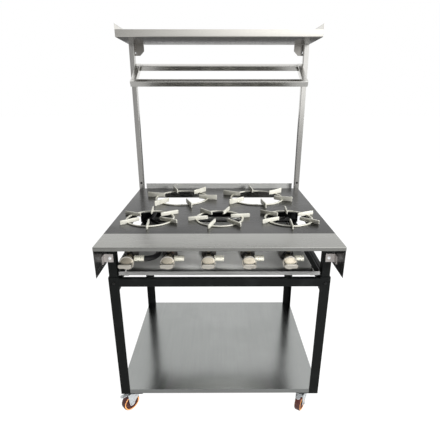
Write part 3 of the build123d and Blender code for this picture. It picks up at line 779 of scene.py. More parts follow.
def arc(centre: Pair, radius: float, start: float, end: float, steps: int) -> np.ndarray:
    """Points of a plane arc, centre plus radius times cosine and sine, from start to end in degrees."""
    angle = np.radians(np.linspace(start, end, steps))
    return np.stack([centre[0] + radius * np.cos(angle), centre[1] + radius * np.sin(angle)], axis=1)


def rounded_rectangle(width: float, height: float, radius: float, steps: int = 5) -> np.ndarray:
    """Loop of a rectangle about the origin with its four corners turned by arcs.

    Args:
        width: its size along the first axis.
        height: its size along the second axis.
        radius: the arcs' radius.
        steps: points in each arc.

    Returns:
        The loop's points.
    """
    x, y = width / 2 - radius, height / 2 - radius
    turns = (((x, y), 0), ((-x, y), 90), ((-x, -y), 180), ((x, -y), 270))
    return np.concatenate([arc(c, radius, a, a + 90, steps) for c, a in turns])


def fillet_path(corners: Sequence[Pair], radius: float, steps: int = 6) -> np.ndarray:
    """Plane path through corners, each turned by an arc that touches both of its straight runs.

    Args:
        corners: the corner points.
        radius: the arcs' radius.
        steps: points in each arc.

    Returns:
        The path's points.
    """
    path = np.array(corners, float)
    parts = [path[:1]]
    for before, here, after in zip(path[:-2], path[1:-1], path[2:]):
        back = (before - here) / np.linalg.norm(before - here)
        on = (after - here) / np.linalg.norm(after - here)
        half = math.acos(float(np.clip(back @ on, -1, 1))) / 2
        reach = radius / math.tan(half)
        t = np.linspace(0, 1, steps)[:, None]
        first, last = here + back * reach, here + on * reach
        middle = here + (back + on) / np.linalg.norm(back + on) * (radius / math.sin(half))
        u, v = first - middle, last - middle
        turn = math.pi - 2 * half
        parts.append(middle + (np.sin((1 - t) * turn) * u + np.sin(t * turn) * v) / math.sin(turn))
    parts.append(path[-1:])
    return np.concatenate(parts)


def hexagon(start: float) -> np.ndarray:
    """Six points of a hexagon of unit radius, the first at a start angle in degrees."""
    steps = np.radians(np.arange(0, 360, 60) + start)
    return np.stack([np.cos(steps), np.sin(steps)], axis=1)


def thicken(path: np.ndarray, thickness: float) -> np.ndarray:
    """Closed section of a sheet: the path moved half a thickness to one side, then back on the other.

    Args:
        path: the middle of the sheet.
        thickness: the sheet's thickness.

    Returns:
        The section's points.
    """
    along = np.gradient(path, axis=0)
    along /= np.linalg.norm(along, axis=1, keepdims=True)
    side = np.stack([-along[:, 1], along[:, 0]], axis=1) * (thickness / 2)
    return np.concatenate([path + side, (path - side)[::-1]])


def revolve(profile: np.ndarray, centre: Triple, axis: str, steps: int) -> np.ndarray:
    """Surface of a profile of radius and height turned about an axis through a centre.

    Args:
        profile: radius and height of each point.
        centre: a point on the axis, from which height counts.
        axis: "X", "Y" or "Z".
        steps: points round the turn.

    Returns:
        Grid of points, a row for each point of the profile.
    """
    angle = np.linspace(0, 2 * math.pi, steps, endpoint=False)
    across = profile[:, :1] * np.cos(angle)
    aside = profile[:, :1] * np.sin(angle)
    height = np.broadcast_to(profile[:, 1:], across.shape)
    order = {"X": (height, across, aside), "Y": (aside, height, across), "Z": (across, aside, height)}
    return np.stack(order[axis], axis=-1) + np.array(centre)


def straight_run(section: np.ndarray, start: float, end: float) -> np.ndarray:
    """Section of Y and Z points carried along X from start to end.

    Args:
        section: the points.
        start: X of the first row.
        end: X of the last row.

    Returns:
        Grid of points in two rows.
    """
    ends = np.array([start, end])[:, None]
    across = np.broadcast_to(ends, (2, len(section)))
    return np.stack([across, *(np.broadcast_to(section[:, k], across.shape) for k in (0, 1))], axis=-1)


def plate_grid(outline: np.ndarray, low: float, high: float, edge: float, axis: str) -> np.ndarray:
    """Plate of a plane outline carried along an axis, drawn in by an edge at both faces.

    Args:
        outline: loop of points in the two other axes, in their order.
        low: where the plate starts on the axis.
        high: where it ends.
        edge: how far its edges are turned.
        axis: "X", "Y" or "Z".

    Returns:
        Grid of points, a row for each depth.
    """
    middle = outline.mean(axis=0)
    away = outline - middle
    turn = np.radians(np.linspace(0, 90, EDGE_STEPS))
    rise, inset = edge * (1 - np.cos(turn)), edge * (1 - np.sin(turn))
    depth = np.concatenate([low + rise, (high - rise)[::-1]])
    drawn = np.concatenate([inset, inset[::-1]])
    shape = middle + away * (1 - drawn[:, None, None] / np.linalg.norm(away, axis=1)[None, :, None])
    along = np.broadcast_to(depth[:, None], shape.shape[:2])
    first, second = shape[..., 0], shape[..., 1]
    order = {"X": (along, first, second), "Y": (first, along, second), "Z": (first, second, along)}
    return np.stack(order[axis], axis=-1)


def spin(grid: np.ndarray, angle: float, place: Triple) -> np.ndarray:
    """Points turned about Z by an angle in degrees, then moved to a place.

    Args:
        grid: the points.
        angle: the turn, anticlockwise from above.
        place: where the turned origin goes.

    Returns:
        The points in their new places.
    """
    c, s = math.cos(math.radians(angle)), math.sin(math.radians(angle))
    turn = np.array([[c, s, 0.0], [-s, c, 0.0], [0.0, 0.0, 1.0]])
    return grid @ turn + np.array(place)


def resample(loop: np.ndarray, spacing: float) -> np.ndarray:
    """Closed loop with points at about even spacing along it.

    Args:
        loop: the points of the loop.
        spacing: the wanted distance between points.

    Returns:
        The loop's new points.
    """
    closed = np.concatenate([loop, loop[:1]])
    along = np.concatenate([[0.0], np.cumsum(np.linalg.norm(np.diff(closed, axis=0), axis=1))])
    where = np.linspace(0, along[-1], max(LEAST_POINTS, round(along[-1] / spacing)), endpoint=False)
    return np.stack([np.interp(where, along, closed[:, k]) for k in range(closed.shape[1])], axis=1)


def bead(path: np.ndarray, normal: Triple, radius: np.ndarray, steps: int = 8) -> np.ndarray:
    """Round bead along a closed plane path.

    Args:
        path: the loop's points.
        normal: the direction square to the loop's plane.
        radius: the bead's radius at each point.
        steps: points round the bead.

    Returns:
        Grid of points, a row for each point of the path.
    """
    along = np.roll(path, -1, axis=0) - np.roll(path, 1, axis=0)
    along /= np.linalg.norm(along, axis=1, keepdims=True)
    up = np.array(normal)
    side = np.cross(up, along)
    angle = np.linspace(0, 2 * math.pi, steps, endpoint=False)[None, :, None]
    return path[:, None] + radius[:, None, None] * (np.cos(angle) * side[:, None] + np.sin(angle) * up)


@dataclass
class Cooker:
    """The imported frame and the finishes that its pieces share."""

    frame: dict[str, Any]
    finishes: Finishes

    def dress(self, finish: bpy.types.Material, *nodes: str) -> None:
        """Give CAD nodes a finish.

        Args:
            finish: the material.
            nodes: the CAD nodes' names.
        """
        for node in nodes:
            slots = self.frame["nodes"][node].data.materials
            slots.clear()
            slots.append(finish)
            LOG.info("dressed %s in %s", node, finish.name)

    def settle(
        self,
        shell: Shell,
        name: str,
        finish: bpy.types.Material,
        slot: str,
        *nodes: str,
        body: str = "cooker",
    ) -> None:
        """Build a piece that rides on a body, takes a finish and stands for CAD nodes.

        Args:
            shell: the piece's surface.
            name: the piece's name.
            finish: its material.
            slot: the record's material slot; not used.
            nodes: the CAD nodes that it stands for, if any.
            body: the body that it moves with.
        """
        piece = shell.build(name, finish)
        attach(piece, body)
        if nodes:
            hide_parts(*nodes)
        LOG.info("%s rides on %s, %d points", piece.name, body, len(piece.data.vertices))


@dataclass(frozen=True)
class BurnerSize:
    """Radii and heights of what is round a burner: the support's ring and fins, the cap and the hole."""

    ring: float
    reach: float
    inner: float
    fin_height: float
    end_height: float
    cap: float
    hole: float


class Size(Enum):
    """The two sizes of burner."""

    SMALL = BurnerSize(
        ring=0.099,
        reach=0.128,
        inner=0.048,
        fin_height=0.017,
        end_height=0.016,
        cap=0.050,
        hole=0.089,
    )
    LARGE = BurnerSize(
        ring=0.129,
        reach=0.174,
        inner=0.086,
        fin_height=0.022,
        end_height=0.024,
        cap=0.062,
        hole=0.119,
    )


@dataclass(frozen=True)
class Burner:
    """A burner's name, its place on the hob, the turn of its support in degrees and its size."""

    name: str
    x: float
    y: float
    turn: float
    size: Size


BURNERS = (
    Burner("front_left", -0.283, -0.103, 34.0, Size.SMALL),
    Burner("rear_left", -0.183, 0.205, 50.0, Size.LARGE),
    Burner("front_centre", 0.0, -0.103, 10.0, Size.SMALL),
    Burner("rear_right", 0.183, 0.205, 38.0, Size.LARGE),
    Burner("front_right", 0.283, -0.103, 27.0, Size.SMALL),
)


@dataclass
class PanSupports:
    """Cast rings on the hob, each with six upright fins that carry a pan."""

    cooker: Cooker
    hob_top: float = 0.822
    ring_width: float = 0.008
    ring_thick: float = 0.005
    ring_corner: float = 0.0021
    ring_steps: int = 96
    fins: int = 6
    fin_thick: float = 0.005
    fin_corner: float = 0.0028
    fin_corner_steps: int = 5
    fin_edge: float = 0.0009
    tip_height: float = 0.003

    def ring(self, size: BurnerSize, place: Triple) -> np.ndarray:
        """Ring: a rounded rectangle of radius and height, turned about Z at a place.

        Args:
            size: the burner's sizes.
            place: the middle of the ring, on the hob.

        Returns:
            Grid of points.
        """
        section = rounded_rectangle(self.ring_width, self.ring_thick, self.ring_corner)
        profile = section + np.array([size.ring - self.ring_width / 2, self.ring_thick / 2])
        return revolve(profile, place, "Z", self.ring_steps)

    def fin(self, size: BurnerSize) -> np.ndarray:
        """Fin along X: its side view of radius and height, with turned corners, carried along Y.

        Args:
            size: the burner's sizes.

        Returns:
            Grid of points about the ring's middle.
        """
        corners = [
            (size.ring, 0.0),
            (size.reach, 0.0),
            (size.reach, size.end_height),
            (size.ring, size.fin_height),
            (size.inner, size.fin_height),
            (size.inner, self.tip_height),
            (size.ring - self.ring_width, 0.0),
            (size.ring, 0.0),
        ]
        outline = fillet_path(corners, self.fin_corner, self.fin_corner_steps)[:-1]
        half = self.fin_thick / 2
        return plate_grid(outline, -half, half, self.fin_edge, "Y")

    def build(self) -> None:
        """Build all five supports, each in place of its CAD node."""
        look = self.cooker.finishes
        for burner in BURNERS:
            place = (burner.x, burner.y, self.hob_top)
            size = burner.size.value
            shell = Shell()
            shell.patch(self.ring(size, place), wrap_rows=True)
            fin = self.fin(size)
            for k in range(self.fins):
                shell.solid(spin(fin, burner.turn + 360 * k / self.fins, place))
            node = f"pan_support_{burner.name}"
            self.cooker.settle(shell, f"{node}_cast", look.plated, "support_enamel", node, body=node)


@dataclass
class BurnerCaps:
    """Toothed burner caps with a hollow top, and the rolled rims of the holes above them.

    Rows of the profile end with the share of the slots. They start with how far a point is inside the cap's
    radius, or in the bowl with its share of it. Between is its rise from the base in the skirt, and its drop
    from the top in the crown and the bowl.
    """

    cooker: Cooker
    base: float = 0.761
    height: float = 0.012
    skirt: tuple[Triple, ...] = ((0.006, 0.0, 0.0), (0.0008, 0.0, 1.0), (0.0, 0.0008, 1.0))
    crown: tuple[Triple, ...] = (
        (0.0, 0.0015, 1.0),
        (0.0012, 0.0003, 1.0),
        (0.0055, 0.0, 0.3),
        (0.009, 0.0004, 0.0),
    )
    bowl: tuple[Triple, ...] = ((0.75, 0.005, 0.0), (0.5, 0.009, 0.0), (0.0, 0.009, 0.0))
    slots: int = 24
    slot_width: float = 0.004
    slot_depth: float = 0.0044
    slot_fade: float = 0.0006
    slot_steps: int = 12
    rim: float = 0.0009
    rim_height: float = 0.8217
    rim_steps: int = 10
    steps: int = 96

    def cap_grid(self, outer: float) -> np.ndarray:
        """Cap about the Z axis: a profile whose outer points draw in at each slot.

        Args:
            outer: the cap's radius.

        Returns:
            Grid of points, a row for each point of the profile.
        """
        angle = np.linspace(0, 2 * math.pi, self.slots * self.slot_steps, endpoint=False)
        pitch = 2 * math.pi / self.slots
        off = np.abs((angle + pitch / 2) % pitch - pitch / 2) * outer
        slot = np.clip((self.slot_width / 2 + self.slot_fade / 2 - off) / self.slot_fade, 0.0, 1.0)
        rows = [(0.0, 0.0, 0.0)]
        rows += [(outer - inside, rise, share) for inside, rise, share in self.skirt]
        rows += [(outer - inside, self.height - drop, share) for inside, drop, share in self.crown]
        rows += [(outer * part, self.height - drop, share) for part, drop, share in self.bowl]
        profile = np.array(rows)
        r = profile[:, :1] - profile[:, 2:] * slot * self.slot_depth
        z = np.broadcast_to(profile[:, 1:2], r.shape)
        return np.stack([r * np.cos(angle), r * np.sin(angle), z], axis=-1)

    def build(self) -> None:
        """Build the five caps as one piece, and the five rims as another."""
        look = self.cooker.finishes
        caps, rims = Shell(), Shell()
        last = 360 - 360 / self.rim_steps
        for burner in BURNERS:
            x, y, size = burner.x, burner.y, burner.size.value
            caps.patch(self.cap_grid(size.cap) + np.array([x, y, self.base]))
            section = arc((size.hole + self.rim, 0.0), self.rim, 0, last, self.rim_steps)
            rims.patch(revolve(section, (x, y, self.rim_height), "Z", self.steps), wrap_rows=True)
        self.cooker.settle(caps, "burner_caps_toothed", look.iron, "burner_iron", "burner_caps")
        # The hole rims take the lighter panel steel, not the hob's own: a painted highlight along the hole
        # edges.
        self.cooker.settle(rims, "hob_hole_rims", look.panel, "hob_steel")


@dataclass
class Knobs:
    """Plated knobs: a turned disc with a ring groove, and a rounded grip bar across it."""

    cooker: Cooker
    back: float = -0.304
    radius: float = 0.027
    disc: float = 0.008
    disc_round: float = 0.002
    disc_round_steps: int = 6
    disc_bevel: float = 0.001
    groove: tuple[Pair, ...] = ((0.0205, 0.0), (0.0201, 0.0006), (0.0193, 0.0006), (0.0189, 0.0), (0.0, 0.0))
    socket: float = 0.0041
    socket_depth: float = 0.0065
    bar: Triple = (0.048, 0.016, 0.030)
    bar_corner: float = 0.0055
    bar_corner_steps: int = 7
    bar_edge: float = 0.002
    bar_root: float = 0.003
    steps: int = 72

    def disc_profile(self) -> np.ndarray:
        """Radius and depth of the disc from its socket round to the middle of its face.

        Returns:
            The profile's points.
        """
        r, d, turn, bevel = self.radius, self.disc, self.disc_round, self.disc_bevel
        socket = [(0.0, -self.socket_depth), (self.socket, -self.socket_depth), (self.socket, 0.0)]
        start = [*socket, (r - bevel, 0.0), (r, -bevel)]
        edge = arc((r - turn, turn - d), turn, 0, -90, self.disc_round_steps)
        return np.concatenate([np.array(start), edge, np.array(self.groove) - np.array([0.0, d])])

    def build(self) -> None:
        """Build the five knobs, each in place of its CAD node."""
        length, height, reach = self.bar
        face = self.back - self.disc
        outline = rounded_rectangle(length, height, self.bar_corner, self.bar_corner_steps)
        bar = plate_grid(outline, face - reach, face + self.bar_root, self.bar_edge, "Y")
        finish = self.cooker.finishes.knob
        for number, x in enumerate(VALVES, start=1):
            shell = Shell()
            shell.patch(revolve(self.disc_profile(), (x, self.back, VALVE_HEIGHT), "Y", self.steps))
            shell.solid(bar + np.array([x, 0.0, VALVE_HEIGHT]))
            node = f"knob_{number}"
            self.cooker.settle(shell, f"{node}_turned", finish, "knob_chrome", node, body=node)


@dataclass
class Wheels:
    """Castor wheels: a crowned tread, a pale ring on each side and a ribbed core.

    A place is a castor's name, the X and Y of its swivel axis, and its turn in degrees. The hub and the edge
    give radius, height and the share of the ribs on one side of the core, and the web lies between them.
    """

    cooker: Cooker
    places: tuple[tuple[str, float, float, float], ...] = (
        ("front_left", -CASTOR_X, CASTOR_Y[0], 225.0),
        ("front_right", CASTOR_X, CASTOR_Y[0], 236.0),
        ("rear_left", -CASTOR_X, CASTOR_Y[1], 80.0),
        ("rear_right", CASTOR_X, CASTOR_Y[1], 110.0),
    )
    centre: Triple = (0.030, 0.0, 0.0375)
    steps: int = 72
    tread_size: Pair = (0.008, 0.024)
    tread_corner: float = 0.003
    tread_spacing: float = 0.0012
    tread_radius: float = 0.0335
    crown: float = 0.0005
    ring_size: Pair = (0.0046, 0.0014)
    ring_corner: float = 0.0006
    ring_place: Pair = (0.0322, 0.0119)
    hub: tuple[Triple, ...] = (
        (0.0041, 0.0140, 0.0),
        (0.0120, 0.0140, 0.0),
        (0.0130, 0.0130, 0.0),
        (0.0134, 0.0088, 0.0),
    )
    web: Pair = (0.0145, 0.0285)
    web_height: float = 0.0086
    web_points: int = 6
    edge: Triple = (0.0298, 0.0095, 0.0)
    ribs: int = 6
    rib_height: float = 0.0024
    rib_slope: float = 2.2
    rib_gap: float = 1.1
    core_steps: int = 120

    def tread(self) -> Shell:
        """Tread: a rounded section with a crown, turned about the axle.

        Returns:
            The tread's shell, of a castor at the origin.
        """
        section = rounded_rectangle(*self.tread_size, self.tread_corner, steps=6)
        section = resample(section, self.tread_spacing)
        outer = section[:, 0] > 0
        section[:, 0] -= outer * self.crown * (section[:, 1] / (self.tread_size[1] / 2)) ** 2
        profile = section + np.array([self.tread_radius, 0.0])
        shell = Shell()
        shell.patch(revolve(profile, self.centre, "Y", self.steps), wrap_rows=True)
        return shell

    def rims(self) -> Shell:
        """Rings: a rounded rectangle turned about the axle, on each side of the tread.

        Returns:
            The rings' shell, of a castor at the origin.
        """
        shell = Shell()
        section = rounded_rectangle(*self.ring_size, self.ring_corner, steps=4)
        radius, height = self.ring_place
        for side in (-1, 1):
            ring = section + np.array([radius, side * height])
            shell.patch(revolve(ring, self.centre, "Y", self.steps), wrap_rows=True)
        return shell

    def core(self) -> Shell:
        """Core: a web between hub and tread, with ribs that swell with the cosine of the angle.

        Returns:
            The core's shell, of a castor at the origin.
        """
        angle = np.linspace(0, 2 * math.pi, self.core_steps, endpoint=False)
        rib = np.clip(np.cos(angle * self.ribs) * self.rib_slope - self.rib_gap, 0.0, 1.0)
        radii = np.linspace(*self.web, self.web_points)
        fade = np.sin(np.linspace(0, math.pi, self.web_points)) ** 0.5
        web = np.stack([radii, np.full(self.web_points, self.web_height), fade], axis=1)
        side = np.concatenate([np.array(self.hub), web, np.array([self.edge])])
        profile = np.concatenate([side, side[::-1] * np.array([1.0, -1.0, -1.0])])
        h = profile[:, 1:2] + profile[:, 2:] * rib * self.rib_height
        r = np.broadcast_to(profile[:, :1], h.shape)
        shell = Shell()
        grid = np.stack([r * np.sin(angle), h, r * np.cos(angle)], axis=-1)
        shell.patch(grid + np.array(self.centre), wrap_rows=True)
        return shell

    def build(self) -> None:
        """Build each wheel's tread in place of its CAD node, and its rings and core with it."""
        look = self.cooker.finishes
        for name, x, y, angle in self.places:
            body = f"wheel_{name}"
            for kind, shell, finish, nodes in (
                ("tread", self.tread(), look.tread, (f"castor_{body}",)),
                ("rims", self.rims(), look.rim, ()),
                ("core", self.core(), look.hub, ()),
            ):
                shell.points = [spin(p, angle, (x, y, 0.0)) for p in shell.points]
                self.cooker.settle(shell, f"{body}_{kind}", finish, "wheel_plastic", *nodes, body=body)


@dataclass(frozen=True)
class Bolt:
    """A hex bolt by the face that it sits on, its axis and the way in which its head stands out."""

    seat: Triple
    axis: str
    way: int


@dataclass
class Bolts:
    """Hex bolts with washers: plated on brackets, gussets and castor plates, dark on legs and uprights."""

    cooker: Cooker
    washer: float = 0.0058
    washer_thick: float = 0.001
    washer_corner: float = 0.0003
    washer_steps: int = 32
    head: float = 0.0052
    head_height: float = 0.0038
    head_edge: float = 0.0006
    faces: tuple[tuple[float, int], ...] = ((-0.300, -1), (0.369, 1))
    gusset: Triple = (0.398, 0.3825, 1.488)
    bracket: Pair = (0.4015, 0.738)
    leg: Pair = (0.3975, 0.633)
    upright: Triple = (0.4125, 0.370, 0.858)
    castor_pitch: float = 0.023
    castor_seat: float = 0.1005

    def bolt_patches(self, shell: Shell, bolt: Bolt) -> None:
        """Add a washer and a hex head with turned edges.

        Args:
            shell: the surface to add to.
            bolt: where the bolt sits.
        """
        low, high = sorted((0.0, bolt.way * self.head_height))
        head = plate_grid(hexagon(start=30) * self.head, low, high, self.head_edge, bolt.axis)
        shell.solid(head + np.array(bolt.seat))
        section = rounded_rectangle(self.washer, self.washer_thick, self.washer_corner, steps=3)
        offset = np.zeros(3)
        offset["XYZ".index(bolt.axis)] = bolt.way * self.washer_thick / 2
        centre = tuple(np.array(bolt.seat) + offset)
        profile = section + np.array([self.washer / 2, 0.0])
        shell.patch(revolve(profile, centre, bolt.axis, self.washer_steps), wrap_rows=True)

    def pair(self, side: int, place: Pair) -> list[Bolt]:
        """Bolts on the front and rear faces of one side, at an X and a Z place."""
        return [Bolt((side * place[0], y, place[1]), "Y", way) for y, way in self.faces]

    def plated(self) -> list[Bolt]:
        """Bolts of the brackets, the gussets and the castor plates.

        Returns:
            Where each bolt sits.
        """
        found = []
        for side in (-1, 1):
            x, y, z = self.gusset
            found.append(Bolt((side * x, y, z), "X", -side))
            found += self.pair(side, self.bracket)
            for row in CASTOR_Y:
                steps = [(i * self.castor_pitch, j * self.castor_pitch) for i in (-1, 1) for j in (-1, 1)]
                seats = [(side * CASTOR_X + i, row + j, self.castor_seat) for i, j in steps]
                found += [Bolt(seat, "Z", -1) for seat in seats]
        return found

    def dark(self) -> list[Bolt]:
        """Bolts of the legs and the uprights.

        Returns:
            Where each bolt sits.
        """
        found = []
        for side in (-1, 1):
            x, y, z = self.upright
            found.append(Bolt((side * x, y, z), "Y", -1))
            found += self.pair(side, self.leg)
        return found

    def build(self) -> None:
        """Build the plated bolts in place of the CAD bolts, and the dark ones beside them."""
        look = self.cooker.finishes
        for name, bolts, finish, nodes in (
            ("bolts_plated", self.plated(), look.zinc, ("bolts",)),
            ("bolts_dark", self.dark(), look.dark, ()),
        ):
            shell = Shell()
            for bolt in bolts:
                self.bolt_patches(shell, bolt)
            self.cooker.settle(shell, name, finish, "zinc", *nodes)


@dataclass
class SheetMetal:
    """Folded sheets with turned bends: the front panel, the upper shelf and the drip tray.

    Paths and ends are places along Y and Z.
    """

    cooker: Cooker
    half: float = 0.425
    bend: float = 0.0022
    panel: tuple[Pair, ...] = (
        (-0.3855, 0.80775),
        (-0.39425, 0.80775),
        (-0.39425, 0.82125),
        (-0.269, 0.82125),
    )
    panel_sheet: float = 0.0015
    joggle: tuple[Pair, ...] = ((-0.2705, 0.81975), (-0.251, 0.81975))
    joggle_half: float = 0.380
    thin_sheet: float = 0.0012
    end_corner: float = 0.0015
    end_edge: float = 0.0004
    shelf: tuple[Pair, ...] = ((0.1386, 1.552), (0.1386, 1.5246), (0.3944, 1.5246), (0.3944, 1.574))
    shelf_ends: tuple[Pair, Pair] = ((0.138, 0.395), (1.524, 1.574))
    tray: tuple[Pair, ...] = ((-0.2994, 0.683), (-0.2994, 0.6686), (0.3244, 0.6686), (0.3244, 0.683))
    tray_half: float = 0.3525
    tray_ends: tuple[Pair, Pair] = ((-0.300, 0.325), (0.668, 0.683))
    rim_size: Pair = (0.7026, 0.6226)
    rim_corner: float = 0.004
    rim_spacing: float = 0.004
    rim_middle: Pair = (0.0, 0.0125)
    rim_height: float = 0.6818
    rim_radius: float = 0.0012
    lip_size: Pair = (0.748, 0.015)
    lip_middle: Pair = (0.0, 0.6755)
    lip_span: Pair = (-0.300, -0.2988)

    def front_panel(self) -> None:
        """Front panel: top strip, lip and hem in one sheet, and the joggle behind it."""
        shell = Shell()
        shell.sheet(fillet_path(self.panel, self.bend), self.panel_sheet, -self.half, self.half)
        shell.sheet(np.array(self.joggle), self.panel_sheet, -self.joggle_half, self.joggle_half)
        finish = self.cooker.finishes.panel
        self.cooker.settle(shell, "front_panel_folded", finish, "pressed_steel", "front_panel")

    def trough(self, path: tuple[Pair, ...], half: float, ends: tuple[Pair, Pair]) -> Shell:
        """Folded sheet with an upright end plate on each side.

        Args:
            path: the middle of the sheet's section.
            half: half of its width.
            ends: the end plates' span along Y and along Z.

        Returns:
            The shell of the sheet and its ends.
        """
        shell = Shell()
        inner = half - self.thin_sheet / 2
        shell.sheet(fillet_path(path, self.bend), self.thin_sheet, -inner, inner)
        (front, rear), (bottom, top) = ends
        outline = rounded_rectangle(rear - front, top - bottom, self.end_corner, steps=4)
        outline = outline + np.array([(front + rear) / 2, (bottom + top) / 2])
        for side in (-1, 1):
            low, high = sorted((side * half, side * (half - self.thin_sheet)))
            shell.solid(plate_grid(outline, low, high, self.end_edge, "X"))
        return shell

    def upper_shelf(self) -> None:
        """Upper shelf: fascia, floor and back in one sheet, with an end plate on each side."""
        shell = self.trough(self.shelf, self.half, self.shelf_ends)
        finish = self.cooker.finishes.fascia
        self.cooker.settle(shell, "top_shelf_folded", finish, "pressed_steel", "top_shelf")

    def drip_tray(self) -> None:
        """Drip tray: floor with turned-up front and back, sides, a rolled rim and a wide front lip."""
        shell = self.trough(self.tray, self.tray_half, self.tray_ends)
        loop = resample(rounded_rectangle(*self.rim_size, self.rim_corner, steps=6), self.rim_spacing)
        level = np.full((len(loop), 1), self.rim_height)
        rim = np.concatenate([loop + np.array(self.rim_middle), level], axis=1)
        shell.patch(bead(rim, (0.0, 0.0, 1.0), np.full(len(rim), self.rim_radius)), wrap_rows=True)
        lip = rounded_rectangle(*self.lip_size, self.end_corner, steps=4) + np.array(self.lip_middle)
        shell.solid(plate_grid(lip, *self.lip_span, self.end_edge, "Y"))
        finish = self.cooker.finishes.tray
        self.cooker.settle(shell, "drip_tray_folded", finish, "pressed_steel", "drip_tray", body="drip_tray")

    def build(self) -> None:
        """Build the three sheets."""
        self.front_panel()
        self.upper_shelf()
        self.drip_tray()


@dataclass
class Fittings:
    """Small things on the stand and the gas line: weld beads, a hose clamp and hex collars.

    The band and the screw box are given by width, height and corner radius, the gland by radius and place.
    """

    cooker: Cooker
    weld_front: Pair = (0.3785, -0.2965)
    weld_side: float = 0.413
    weld_side_y: Pair = (-0.262, 0.331)
    weld_rise: Pair = (0.619, 0.651)
    weld_points: int = 60
    weld_steps: int = 10
    weld_radius: float = 0.0015
    weld_swell: float = 0.0003
    weld_pitch: int = 6
    weld_sharp: float = 50.0
    clamp: Triple = (-0.330, 0.3095, VALVE_HEIGHT)
    band_size: Triple = (0.0012, 0.009, 0.0004)
    band_radius: float = 0.0106
    band_steps: int = 48
    screw_size: Triple = (0.012, 0.008, 0.001)
    screw_span: Pair = (0.0108, 0.0165)
    screw_edge: float = 0.0006
    collar: float = 0.0178
    collar_span: Pair = (-0.264, -0.253)
    collar_edge: float = 0.0008
    gland: tuple[Pair, ...] = (
        (0.0044, -0.3012),
        (0.0085, -0.3012),
        (0.0092, -0.3004),
        (0.0092, -0.2965),
        (0.0044, -0.2965),
    )
    neck: float = 0.0105
    neck_y: float = -0.2745
    neck_span: Pair = (0.744, 0.754)

    def weld(self, shell: Shell, place: Pair) -> None:
        """Add an upright scalloped bead: a ring carried up, its radius swelling with a cosine of the height.

        Args:
            shell: the surface to add to.
            place: the corner between a leg and the end of a rail.
        """
        rise = np.linspace(*self.weld_rise, self.weld_points)
        wave = np.cos(np.arange(len(rise)) * 2 * math.pi / self.weld_pitch)
        radius = self.weld_radius + self.weld_swell * wave
        turn = np.linspace(0, 2 * math.pi, self.weld_steps, endpoint=False)
        ring = np.stack([np.cos(turn), np.sin(turn)], axis=1)
        grid = np.zeros((len(rise), len(turn), 3))
        grid[:, :, :2] = np.array(place) + ring[None] * radius[:, None, None]
        grid[:, :, 2] = rise[:, None]
        shell.solid(grid)

    def welds(self) -> None:
        """Weld beads where the three rails meet the flanges of the legs."""
        shell = Shell(self.weld_sharp)
        for side in (-1, 1):
            self.weld(shell, (side * self.weld_front[0], self.weld_front[1]))
            for y in self.weld_side_y:
                self.weld(shell, (side * self.weld_side, y))
        self.cooker.settle(shell, "weld_beads", self.cooker.finishes.black, "black_paint")

    def clamps(self) -> None:
        """Worm-drive band with its screw box on top, where the hose meets the inlet."""
        shell = Shell()
        band = rounded_rectangle(*self.band_size, steps=3) + np.array([self.band_radius, 0.0])
        shell.patch(revolve(band, self.clamp, "Y", self.band_steps), wrap_rows=True)
        box = rounded_rectangle(*self.screw_size, steps=3)
        screw = plate_grid(box, *self.screw_span, self.screw_edge, "Z")
        shell.solid(screw + np.array(self.clamp))
        self.cooker.settle(shell, "hose_clamps", self.cooker.finishes.zinc, "zinc")

    def collars(self) -> None:
        """Hex collars on the valve bodies, their glands and their necks."""
        collar = plate_grid(hexagon(start=0) * self.collar, *self.collar_span, self.collar_edge, "Y")
        neck = plate_grid(hexagon(start=0) * self.neck, *self.neck_span, self.collar_edge, "Z")
        shell = Shell()
        for x in VALVES:
            shell.solid(collar + np.array([x, 0.0, VALVE_HEIGHT]))
            shell.patch(revolve(np.array(self.gland), (x, 0.0, VALVE_HEIGHT), "Y", steps=6), wrap_rows=True)
            shell.solid(neck + np.array([x, self.neck_y, 0.0]))
        self.cooker.settle(shell, "valve_collars", self.cooker.finishes.dark, "valve_brass")

    def build(self) -> None:
        """Build all the small things."""
        self.welds()
        self.clamps()
        self.collars()


def quad(name: str, corners: list[Triple]) -> bpy.types.Object:
    """A flat piece of four corners, in the scene.

    Args:
        name: the piece's name.
        corners: its corners in turn.

    Returns:
        The new object.
    """
    mesh = bpy.data.meshes.new(name)
    mesh.from_pydata(corners, [], [(0, 1, 2, 3)])
    piece = bpy.data.objects.new(name, mesh)
    bpy.context.scene.collection.objects.link(piece)
    return piece


